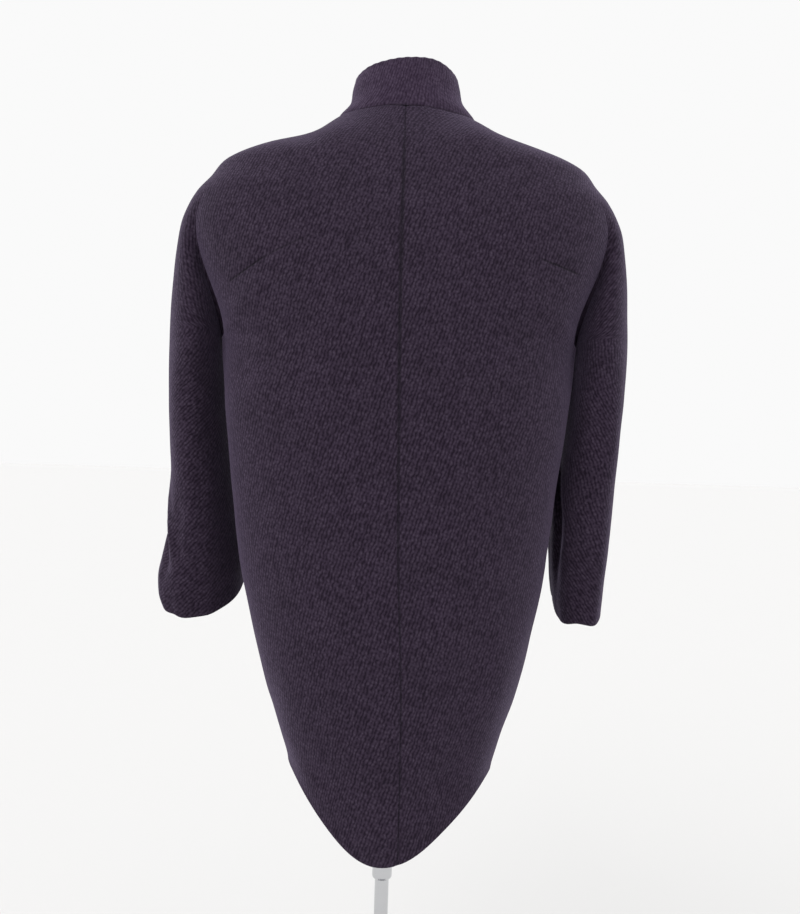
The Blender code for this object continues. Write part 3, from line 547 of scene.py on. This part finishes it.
def thickPanel(sheet, normals):  # inner face and rim: flat along the seams, rounded along hem, cuffs and fronts
    points, loop, loose, count = sheet["points"].copy(), sheet["loop"], sheet["loose"], len(sheet["points"])
    handed, half = sheet["side"] * sheet["facing"], coat["wall"] / 2
    along = points[np.roll(loop, -1)] - points[np.roll(loop, 1)]
    outward = unit(handed * np.cross(along, normals[loop]))
    inner = points - coat["wall"] * normals
    inner[loop] -= outward * (loose * half)[:, None]                    # sewn edges meet on the inside
    points[loop] -= outward * lerp(coat["seamOpen"], half, loose)[:, None]
    rim, levels = [], [loop]
    for k, angle in enumerate(coat["rimAngles"]):
        c, s = math.cos(math.radians(angle)), math.sin(math.radians(angle))
        rim.append(lerp(points[loop], inner[loop], (1 - c) / 2) + outward * (half * s * loose)[:, None])
        levels.append(2 * count + k * len(loop) + np.arange(len(loop)))
    levels.append(loop + count)
    faces = [sheet["faces"], sheet["faces"][:, ::-1] + count]
    for upper, lower in zip(levels, levels[1:]):
        strip = np.stack([np.roll(upper, -1), upper, lower, np.roll(lower, -1)], -1)
        faces.append(strip if handed > 0 else strip[:, ::-1])
    grain = np.concatenate([sheet["grain"], sheet["grain"]] + [sheet["grain"][loop]] * len(rim))
    # the rims along the sewn edges take the full painted seam shade, the inner face none
    sewn = np.concatenate([sheet["sewn"], np.zeros(count), np.tile(1 - loose, len(rim))])
    return np.concatenate([points, inner, *rim]), np.concatenate(faces), grain, sewn


# finishes

class Wire:  # a shader socket that adds its own maths
    def __init__(self, tree, socket=None):
        self.tree, self.socket = tree, socket

    def node(self, kind, settings=None, sockets=None, output=0):
        made = self.tree.nodes.new("ShaderNode" + kind)
        for name, value in (settings or {}).items():
            if name == "stops":
                for k, (place, colour) in enumerate(value):
                    stop = made.color_ramp.elements[k] if k < 2 else made.color_ramp.elements.new(place)
                    stop.position, stop.color = place, (*colour, 1)
            else:
                setattr(made, name, value)
        for name, value in (sockets or {}).items():
            self.feed(made.inputs[name], value)
        return Wire(self.tree, made.outputs[output])

    def feed(self, socket, value):
        if isinstance(value, Wire):
            self.tree.links.new(value.socket, socket)
        else:
            socket.default_value = value

    def maths(self, operation, *values, clamp=False):
        return self.node("Math", {"operation": operation, "use_clamp": clamp}, dict(enumerate(values)))

    def __add__(self, other):
        return self.maths("ADD", self, other)

    def __sub__(self, other):
        return self.maths("SUBTRACT", self, other)

    def __rsub__(self, other):
        return self.maths("SUBTRACT", other, self)

    def __mul__(self, other):
        return self.maths("MULTIPLY", self, other)

    def __truediv__(self, other):
        return self.maths("DIVIDE", self, other)

    def __rtruediv__(self, other):
        return self.maths("DIVIDE", other, self)

    __radd__, __rmul__ = __add__, __mul__

    def clamped(self):
        return self.maths("ADD", self, 0.0, clamp=True)

    def join(self, x, y, z=0.0):
        return self.node("CombineXYZ", {}, {"X": x, "Y": y, "Z": z})

    def split(self):
        return [self.node("SeparateXYZ", {}, {"Vector": self}, k) for k in range(3)]

    def onPiece(self):  # place in the piece's own frame
        return self.node("TexCoord", output=3)

    def cloud(self, place, scale, detail=2.0, roughness=0.5):
        return self.node("TexNoise", {}, {"Vector": place, "Scale": scale, "Detail": detail, "Roughness": roughness})

    def cells(self, place, scatter):
        return self.node("TexVoronoi", {"feature": "F1"}, {"Vector": place, "Scale": 1.0, "Randomness": scatter})

    def mixed(self, factor, a, b, blend="MIX"):
        return self.node("Mix", {"data_type": "RGBA", "blend_type": blend}, {0: factor, 6: a, 7: b}, 2)


def newFinish(name, **fixed):
    finish = bpy.data.materials.new(name)
    finish.use_nodes = True
    shader = finish.node_tree.nodes["Principled BSDF"]
    for socket, value in fixed.items():
        shader.inputs[socket.replace("_", " ")].default_value = value
    return finish, shader, Wire(finish.node_tree)


def paint(colour, scale=1.0):  # a colour with full alpha, as is or darkened
    return (*(scale * part for part in colour), 1)


def dress(shader, wire, colour, roughness, height, relief):  # relief is the bump's strength and depth
    bump = wire.node("Bump", {}, {"Strength": relief[0], "Distance": relief[1], "Height": height})
    for socket, value in (("Base Color", colour), ("Roughness", roughness), ("Normal", bump)):
        wire.feed(shader.inputs[socket], value)


wool = {
    "row": 0.0045, "nub": 0.0042, "lean": math.radians(71),      # spacing of the ridges, length of the nubs, slope
    "bend": (0.50, 1.1), "nubScatter": 0.72, "nubTop": 1.05, "nubFall": 1.35, "fuzz": (3.4, 3.0, 0.65),
    "rowShare": 0.24, "nubShare": 0.46, "fuzzShare": 0.42, "toneMiddle": 0.62, "toneGain": 1.55,
    "patchSize": 0.09, "patchDepth": 0.30,
    # colours: shadow is the painted shade of seams and darts; pit to nap run from the weave's pits to its nap, the
    # dark pit end partly painted shade
    "shadow": (0.0022, 0.0013, 0.0026), "pit": (0.0073, 0.0034, 0.0095), "low": (0.0193, 0.0115, 0.0236),
    "mid": (0.0297, 0.0197, 0.0353), "nap": (0.0480, 0.0360, 0.0550), "lowAt": 0.30, "midAt": 0.58,
    "seamShade": 0.70, "seamDepth": 0.5,
    # the dart lines of painted shade: width, edge, and fades at the start and the end
    "thread": 0.0013, "threadEdge": 1.5, "threadStart": 0.006, "threadEnd": 0.016,
    "rough": 0.96, "napPolish": 0.12, "relief": (0.75, 0.0011), "gloss": 0.18,
    "sheen": 0.15, "sheenRough": 0.45, "sheenTint": (0.74, 0.58, 0.95),
}


def woolFinish(name, sewnLines=(), paintedLight=1.0, contrast=0.9):
    finish, shader, wire = newFinish(
        name, Sheen_Weight=wool["sheen"], Sheen_Roughness=wool["sheenRough"], Sheen_Tint=paint(wool["sheenTint"]),
        Specular_IOR_Level=wool["gloss"])
    u, v, _ = wire.node("UVMap", {"uv_map": "clothGrain"}).split()
    c, s = math.cos(wool["lean"]), math.sin(wool["lean"])
    across, along = (u * s - v * c) / wool["row"], (u * c + v * s) / wool["nub"]
    place, (bendSize, bend) = wire.join(across, along), wool["bend"]
    bent = across + (wire.cloud(place, bendSize, 1.0) - 0.5) * bend
    rows = wire.maths("SINE", bent * (2 * math.pi)) * 0.5 + 0.5
    nubs = (wool["nubTop"] - wire.cells(wire.join(bent, along), wool["nubScatter"]) * wool["nubFall"]).clamped()
    fuzz = wire.cloud(place, *wool["fuzz"])
    height = rows * wool["rowShare"] + nubs * wool["nubShare"] + fuzz * wool["fuzzShare"]
    # the colour follows the weave's height, dark in its pits and light on its nubs: partly the yarn's own tone,
    # partly painted shade in the pits
    tone = ((height - wool["toneMiddle"]) * (wool["toneGain"] * contrast) + 0.5).clamped()
    stops = (0.0, wool["pit"]), (1.0, wool["nap"]), (wool["lowAt"], wool["low"]), (wool["midAt"], wool["mid"])
    colour = wire.node("ValToRGB", {"stops": stops}, {"Fac": tone})
    patchLow = 1 - wool["patchDepth"] / 2
    # slow, uneven tone of the cloth itself, times a factor that lightens the whole colour: painted light where it is
    # above 1, as on the collar
    patchesAndPaintedLight = (wire.cloud(place, wool["patchSize"], 1.0) * wool["patchDepth"] + patchLow) * paintedLight
    colour = wire.mixed(1.0, colour, wire.join(patchesAndPaintedLight, patchesAndPaintedLight, patchesAndPaintedLight), "MULTIPLY")
    # painted shade in the seam grooves: the seam weight darkens the colour towards the shadow colour and sinks the
    # bump
    seam = wire.node("Attribute", {"attribute_name": "sewn"}, {}, 2)
    colour = wire.mixed(seam * wool["seamShade"], colour, paint(wool["shadow"]))
    height = height - seam * wool["seamDepth"]
    # the darts: thin lines of painted shade, darkened towards the shadow colour and sunk in the bump
    if sewnLines:
        x, _, z = wire.onPiece().split()
        for (ax, az), (bx, bz), depth in sewnLines:
            length = math.hypot(bx - ax, bz - az)
            dx, dz = (bx - ax) / length, (bz - az) / length
            t = (x - ax) * dx + (z - az) * dz
            away = wire.maths("ABSOLUTE", (x - ax) * dz - (z - az) * dx)
            thread = (wool["threadEdge"] - away / wool["thread"]).clamped()
            thread = thread * (t / wool["threadStart"]).clamped() * ((length - t) / wool["threadEnd"]).clamped()
            colour = wire.mixed(thread * depth, colour, paint(wool["shadow"]))
            height = height - thread * depth
    dress(shader, wire, colour, wool["rough"] - tone * wool["napPolish"], height, wool["relief"])
    return finish


knit = {
    "colour": (0.62, 0.57, 0.49), "agedAndShaded": 0.72, "stitches": 52, "row": 0.0028, "scatter": 0.35, "ageSize": 9.0,
    "stitchShare": 0.5, "ageShare": 0.3, "rough": 0.80, "stitchRough": 0.12, "relief": (0.5, 0.0008), "sheen": 0.15,
}


def knitFinish(name):  # the form's cover: fine upright stitches
    finish, shader, wire = newFinish(name, Sheen_Weight=knit["sheen"])
    place = wire.onPiece()
    x, y, z = place.split()
    turn = wire.maths("ARCTAN2", y, x)
    stitch = wire.cells(wire.join(turn * knit["stitches"], z / knit["row"]), knit["scatter"])
    # darker at random with age, and darker between the stitches where the bump is low, which is painted shade
    wornAndStitchShade = stitch * knit["stitchShare"] + wire.cloud(place, knit["ageSize"], 4.0) * knit["ageShare"]
    shade = wire.mixed(wornAndStitchShade, paint(knit["colour"]), paint(knit["colour"], knit["agedAndShaded"]))
    dress(shader, wire, shade, knit["rough"] + stitch * knit["stitchRough"], 1 - stitch, knit["relief"])
    return finish


chrome = {  # tube and plate: colour, roughness, fineness of the turned marks
    "tube": ((0.60, 0.605, 0.62), 0.09, 900), "plate": ((0.58, 0.585, 0.60), 0.14, 260),
    "hazeSize": 26.0, "hazeShare": 0.5, "hazed": 0.86, "hazeRough": 0.06, "markRough": 0.05, "relief": (0.04, 0.0004),
}


def chromeFinish(name, colour, polish, lap):  # bright plating with fine turned marks and a little handling haze
    finish, shader, wire = newFinish(name, Metallic=1.0)
    place = wire.onPiece()
    x, y, z = place.split()
    haze = wire.cloud(place, chrome["hazeSize"], 4.0)
    marks = wire.cloud(wire.join(wire.maths("SQRT", x * x + y * y) * lap, 0.0, z * lap), 1.0, 2.0)
    shade = wire.mixed(haze * chrome["hazeShare"], paint(colour), paint(colour, chrome["hazed"]))
    rough = polish + haze * chrome["hazeRough"] + marks * chrome["markRough"]
    dress(shader, wire, shade, rough, marks, chrome["relief"])
    return finish


wood = {
    "pale": (0.34, 0.19, 0.09), "dark": (0.20, 0.10, 0.045), "bendAcross": 9, "bendAlong": 2, "bendSize": 2.0,
    "rings": 420, "bend": 14, "poresAcross": 900, "poresAlong": 40, "ringShare": 0.7, "poreShare": 0.3,
    "rough": 0.42, "poreRough": 0.15, "relief": (0.15, 0.0005),
    "varnish": 0.35, "poreVarnish": 0.1, "varnishRough": 0.2,
}


def woodFinish(name):  # a turned cap: long grain with pores, under varnish
    finish, shader, wire = newFinish(name, Coat_Roughness=wood["varnishRough"])
    x, y, z = wire.onPiece().split()
    stretched = wire.join(x * wood["bendAcross"], y * wood["bendAlong"], z * wood["bendAcross"])
    bend = wire.cloud(stretched, wood["bendSize"], 3.0)
    ring = wire.maths("SINE", x * wood["rings"] + bend * wood["bend"]) * 0.5 + 0.5
    pores = wire.cloud(wire.join(x * wood["poresAcross"], y * wood["poresAlong"], z * wood["poresAcross"]), 1.0, 2.0)
    shade = wire.mixed(ring * wood["ringShare"] + pores * wood["poreShare"], paint(wood["pale"]), paint(wood["dark"]))
    wire.feed(shader.inputs["Coat Weight"], wood["varnish"] - pores * wood["poreVarnish"])
    dress(shader, wire, shade, wood["rough"] + pores * wood["poreRough"], ring, wood["relief"])
    return finish


darts = (  # sewn lines on the back, each drawn as a thin line of painted shade: from, to, depth
    ((0.2215, 1.1635), (0.1640, 1.1980), 0.65),
    ((0.1700, 1.1944), (0.1150, 1.2200), 0.40),
    ((-0.2330, 1.1870), (-0.1740, 1.2020), 0.65),
)
woolBack, woolPlain = woolFinish("woolTwillBack", darts), woolFinish("woolTwill")
# the collar's wool is painted 1.48 times lighter, painted light standing in for the extra light on the collar, and
# its weave shows less
woolCollarPaintedLight = woolFinish("woolTwillCollarPaintedLight", paintedLight=1.48, contrast=0.65)
print("finishes ready")

sheets = [panelSheet(side, facing) for side, facing in ((1, 1), (-1, 1), (1, -1), (-1, -1))]
normals = sharedNormals(sheets)
for sheet, normal in zip(sheets, normals):
    points, side, facing = sheet["points"], sheet["side"], sheet["facing"]
    x, z, fromSide = points[:, 0], points[:, 2], sheet["fromSide"]
    slow, fine = [slowNoise(points, size, k + 1) for k, size in enumerate(coat["waverSizes"])]
    uneven = coat["waver"] * (slow + coat["waverFine"] * fine) * smoothstep(*coat["waverTop"], z)
    sewn = -coat["seamDip"] * hill(sheet["fromSeam"] / coat["seamWidth"])
    rise = sewn + uneven + creaseHeight(points, facing) + shoulderRise(x, z)
    if facing > 0:
        swell = hill((fromSide - coat["sideFillAway"]) / coat["sideFillWidth"])
        swell = swell * hill((z - coat["sideFillHeight"]) / coat["sideFillReach"])
        rise = rise + coat["sideFill"] * swell * (1 - hill(fromSide / coat["sideFillClear"]))
    if (side, facing) == (-1, -1):                                       # the upper front
        rise = rise + coat["lapLift"] * smoothstep(coat["lapStart"], coat["lapEnd"], x * side)
    sheet["points"] = points + normal * rise[:, None]
normals = sharedNormals(sheets)

for name, sheet, normal in zip(coatNodes, sheets, normals):
    points, faces, grain, sewn = thickPanel(sheet, normal)
    facing, finish = sheet["facing"], woolBack if sheet["facing"] > 0 else woolPlain
    panel = newPiece(name + "Cloth", points, faces, finish, grain=grain, sewn=sewn)
    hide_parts(name)
    corner = sheet["points"][sheet["faces"]]
    twice = np.linalg.norm(np.cross(corner[:, 2] - corner[:, 0], corner[:, 3] - corner[:, 1]), axis=1)
    print(name, "area %.3f m2" % (twice.sum() / 2), len(points), "points", panel.dimensions[:])


# stand collar: double cloth with a soft folded top edge

collar = {
    "wall": 0.0050, "columns": 168, "rows": 20, "roundSteps": 8, "endGap": math.radians(4), "seamGap": 0.0003,
    # the back's top is a curve across the neck, with low ridges along it: height, count, shift
    "topBack": (0.00345, 0.00005, -0.01429, 0.00548, -0.00206, -0.00658, 1.47120), "topFront": 1.418,
    "ridges": ((0.0002, 9, 1.0), (0.0003, 37, 0.0)),
    # the foot spreads over the shoulders, more on the right, and is tucked in at its seam, which gets painted shade
    "spread": 0.0125, "spreadLean": -0.0020, "spreadHeight": 0.30, "spreadHeightLean": -0.05,
    "seamSpreads": (0.010, 0.020), "seamSteps": (60, 20),
    "footLift": 0.0004, "footTuck": 0.0010, "tuckHeight": 0.10, "footSeamShade": 0.8,
    "waver": 0.0007, "waverSize": 0.03, "cut": (0.47, 0.075), "cutArea": 0.032,
}
collarRings = table(
    "z      halfWidth  back    front",                                   # z is the share of the way up
    (0.00, 0.0830, 0.0700, 0.0780),
    (0.18, 0.0785, 0.0700, 0.0770),
    (0.42, 0.0752, 0.0698, 0.0750),
    (0.75, 0.0735, 0.0690, 0.0715),
    (1.00, 0.0705, 0.0670, 0.0680),
)


def neckSeam(facing, wider):  # height of the neck seam by the angle round the neck
    angles, heights = [], []
    for steps, onSleeve in zip(collar["seamSteps"], (False, True)):
        share = spread(steps)
        z = neckHeight(1, facing, share, onSleeve, wider)
        x, y = domePoint(1, facing, z, share, onSleeve)
        angles.append(np.arctan2(np.abs(y), x))
        heights.append(z)
    angles, heights = np.concatenate(angles), np.concatenate(heights)
    order = np.argsort(angles)
    return lambda x, y: np.interp(np.arctan2(np.abs(y), np.abs(x)), angles[order], heights[order])


def makeCollar():
    ringAt, half = curves(collarRings), collar["wall"] / 2
    turns = np.linspace(collar["endGap"], 2 * math.pi - collar["endGap"], collar["columns"] + 1) - math.pi / 2
    c, s = np.cos(turns), np.sin(turns)
    back = s >= 0
    wider = collar["spread"] + collar["spreadLean"] * c
    spreadHeight = collar["spreadHeight"] + collar["spreadHeightLean"] * c
    footX, feet = (coat["neckHalfWidth"] + wider) * c, []
    for wide in collar["seamSpreads"]:
        backFoot = neckSeam(1, wide)(footX, coat["neckBack"] * s)
        feet.append(np.where(back, backFoot, neckSeam(-1, wide)(footX, coat["neckFront"] * s)))
    near, far = collar["seamSpreads"]
    low = lerp(*feet, (wider - near) / (far - near))
    low = low + shoulderRise(footX, low) + collar["footLift"]
    topAt = np.poly1d(collar["topBack"])
    high = np.where(back, topAt(c), lerp(topAt(np.sign(c)), collar["topFront"], s * s))
    ridge = sum(height * np.sin(turns * count + shift) for height, count, shift in collar["ridges"])
    outside, inside, flats = [], [], []
    for t in np.linspace(0, 1, collar["rows"] + 1):
        x = (ringAt["halfWidth"](t) + wider * hill(t / spreadHeight)) * c
        y = np.where(back, ringAt["back"](t), ringAt["front"](t)) * s
        z = lerp(low + collar["seamGap"], high - half + ridge * t, t)
        flat, place = unit(np.stack([x, y, 0 * x], -1)), np.stack([x, y, z], -1)
        puff = collar["waver"] * slowNoise(place, collar["waverSize"], 4)
        puff = puff - collar["footTuck"] * hill(t / collar["tuckHeight"])
        outside.append(place + flat * puff[:, None])
        inside.append(place - flat * collar["wall"])
        flats.append(flat)
    up, middle = np.array((0, 0, 1.0)), (outside[-1] + inside[-1]) / 2
    fold = []
    for k in range(1, collar["roundSteps"]):
        angle = math.pi * k / collar["roundSteps"]
        fold.append(middle + flats[-1] * half * math.cos(angle) + up * half * math.sin(angle))
    loop = np.array(outside + fold + inside[::-1])                       # round the band's section
    index = numbered(loop)
    after = np.roll(index, -1, axis=0)
    faces = np.stack([index[:, :-1], index[:, 1:], after[:, 1:], after[:, :-1]], -1).reshape(-1, 4).tolist()
    faces += [index[:, 0].tolist(), index[::-1, -1].tolist()]
    around = stepLengths(np.array(outside), 1)[0]
    grain = np.stack([np.broadcast_to(around, loop.shape[:2]), loop[..., 2]], -1).reshape(-1, 2)
    sewn = np.zeros(loop.shape[:2])
    # painted shade along the collar's seam at the neck
    sewn[0] = collar["footSeamShade"]
    return loop.reshape(-1, 3), faces, grain, sewn.reshape(-1)


points, faces, grain, sewn = makeCollar()
collarPiece = newPiece("standCollar", points, faces, woolCollarPaintedLight, grain=grain, sewn=sewn, sharp=60)
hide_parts("stand_collar")
print("collar made")


# dress form: padded torso with its sewn panels

torso = {
    "bottom": 0.7353, "top": 1.435, "steps": 120, "rows": 130,
    "seams": (0, 52, 90, 128, 180, 232, 270, 308), "groove": 0.0014, "grooveWidth": 1.3,  # in degrees
    "tape": 0.0010, "tapeHeight": 1.02, "tapeWidth": 0.0035,                               # round the waist
}
torsoRings = table(
    "z       halfWidth  back    front",
    (0.735, 0.1450, 0.1020, 0.0940),
    (0.750, 0.1560, 0.1130, 0.1020),
    (0.800, 0.1650, 0.1210, 0.1060),
    (0.880, 0.1560, 0.1120, 0.1010),
    (0.960, 0.1320, 0.0930, 0.0920),
    (1.020, 0.1230, 0.0870, 0.0900),
    (1.100, 0.1380, 0.0930, 0.1060),
    (1.170, 0.1520, 0.1000, 0.1170),
    (1.240, 0.1640, 0.1000, 0.1050),
    (1.300, 0.1790, 0.0930, 0.0820),
    (1.330, 0.1800, 0.0850, 0.0700),
    (1.350, 0.1700, 0.0770, 0.0610),
    (1.365, 0.1400, 0.0690, 0.0560),
    (1.380, 0.0960, 0.0610, 0.0530),
    (1.395, 0.0640, 0.0550, 0.0520),
    (1.412, 0.0545, 0.0520, 0.0515),
    (1.435, 0.0520, 0.0510, 0.0510),
)


def makeTorso():
    ringAt = curves(torsoRings)
    turn = np.linspace(0, 2 * math.pi, torso["steps"], endpoint=False)
    groove = np.zeros(len(turn))
    for seam in torso["seams"]:
        away = (np.degrees(turn) - seam + 180) % 360 - 180
        groove += torso["groove"] * hill(away / torso["grooveWidth"])
    rings = []
    for z in np.linspace(torso["bottom"], torso["top"], torso["rows"] + 1):
        halfWidth = ringAt["halfWidth"](z)
        depth = np.where(np.sin(turn) >= 0, ringAt["back"](z), ringAt["front"](z))
        tape = torso["tape"] * hill((z - torso["tapeHeight"]) / torso["tapeWidth"])
        inward = 1 - (groove - tape) / halfWidth
        x, y = halfWidth * np.cos(turn) * inward, depth * np.sin(turn) * inward
        rings.append(np.stack([x, y, np.full(len(turn), z)], -1))
    points = np.array(rings)
    index = numbered(points)
    near = np.roll(index, -1, axis=1)
    faces = np.stack([index[:-1], near[:-1], near[1:], index[1:]], -1).reshape(-1, 4).tolist()
    return points.reshape(-1, 3), faces + [index[0, ::-1].tolist(), index[-1].tolist()]


points, faces = makeTorso()
torsoPiece = newPiece("paddedTorso", points, faces, knitFinish("formCover"))
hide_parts("form_torso")

plated, spun = chromeFinish("chromeTube", *chrome["tube"]), chromeFinish("chromePlate", *chrome["plate"])
finishes = {
    "upper_tube": plated, "lock_ring": plated, "lower_pole": plated, "stand_base": spun,
    "form_neck_cap": woodFinish("capWood"),
}
for name, finish in finishes.items():
    for holder in nodes[name].material_slots:
        holder.material = finish
print("form and stand finished")


# floor, light and camera

studio = {
    "floorHalf": 60.0, "floor": (0.690, 0.686, 0.683), "sky": (0.955, 0.955, 0.955),
    "floorRough": 0.9, "floorGloss": 0.1, "cloudSize": 1.3, "cloudShare": 0.3, "cloudShade": 0.99,
    "lamps": {  # strength, rise, side and spread in degrees
        "softFront": (1.2, 30, 32, 45), "softLeft": (1.1, 12, 98, 80), "softRight": (1.3, 12, -98, 80),
    },
    "lens": 46.87, "sensor": 36.0, "farEnd": 200.0, "place": (-0.0068, 1.63, 0.945), "roll": math.radians(1.8),
}
reach = studio["floorHalf"]
floorMesh = bpy.data.meshes.new("paleFloor")
corners = [(reach * x, reach * y, 0) for x, y in ((-1, -1), (1, -1), (1, 1), (-1, 1))]
floorMesh.from_pydata(corners, [], [(0, 1, 2, 3)])
floor = bpy.data.objects.new("paleFloor", floorMesh)
bpy.context.scene.collection.objects.link(floor)
finish, shader, wire = newFinish("paleFloor", Roughness=studio["floorRough"], Specular_IOR_Level=studio["floorGloss"])
cloudy = wire.cloud(wire.onPiece(), studio["cloudSize"], 3.0) * studio["cloudShare"]
shade = wire.mixed(cloudy, paint(studio["floor"]), paint(studio["floor"], studio["cloudShade"]))
wire.feed(shader.inputs["Base Color"], shade)
floorMesh.materials.append(finish)

scene = bpy.context.scene
scene.world = bpy.data.worlds.new("whiteStudio")
scene.world.use_nodes = True
sky = scene.world.node_tree.nodes["Background"]
sky.inputs["Color"].default_value, sky.inputs["Strength"].default_value = paint(studio["sky"]), 1.0
scene.view_settings.view_transform = "Standard"
for name, (strength, rise, side, width) in studio["lamps"].items():
    lamp = bpy.data.lights.new(name, "SUN")
    lamp.energy, lamp.angle = strength, math.radians(width)
    holder = bpy.data.objects.new(name, lamp)
    rise, swing = math.radians(rise), math.radians(side)
    towardsLamp = Vector((math.sin(swing) * math.cos(rise), math.cos(swing) * math.cos(rise), math.sin(rise)))
    holder.rotation_euler = towardsLamp.to_track_quat("Z", "Y").to_euler()
    scene.collection.objects.link(holder)

lens = bpy.data.cameras.new("photoCamera")
lens.lens, lens.sensor_width, lens.clip_end = studio["lens"], studio["sensor"], studio["farEnd"]
camera = bpy.data.objects.new("photoCamera", lens)
turned = Matrix(((-1, 0, 0), (0, 0, 1), (0, 1, 0))).to_4x4()            # looks at the coat's back
camera.matrix_world = Matrix.Translation(studio["place"]) @ turned @ Matrix.Rotation(studio["roll"], 4, "Z")
scene.collection.objects.link(camera)
scene.camera = camera
bpy.context.view_layer.update()
print("studio ready")
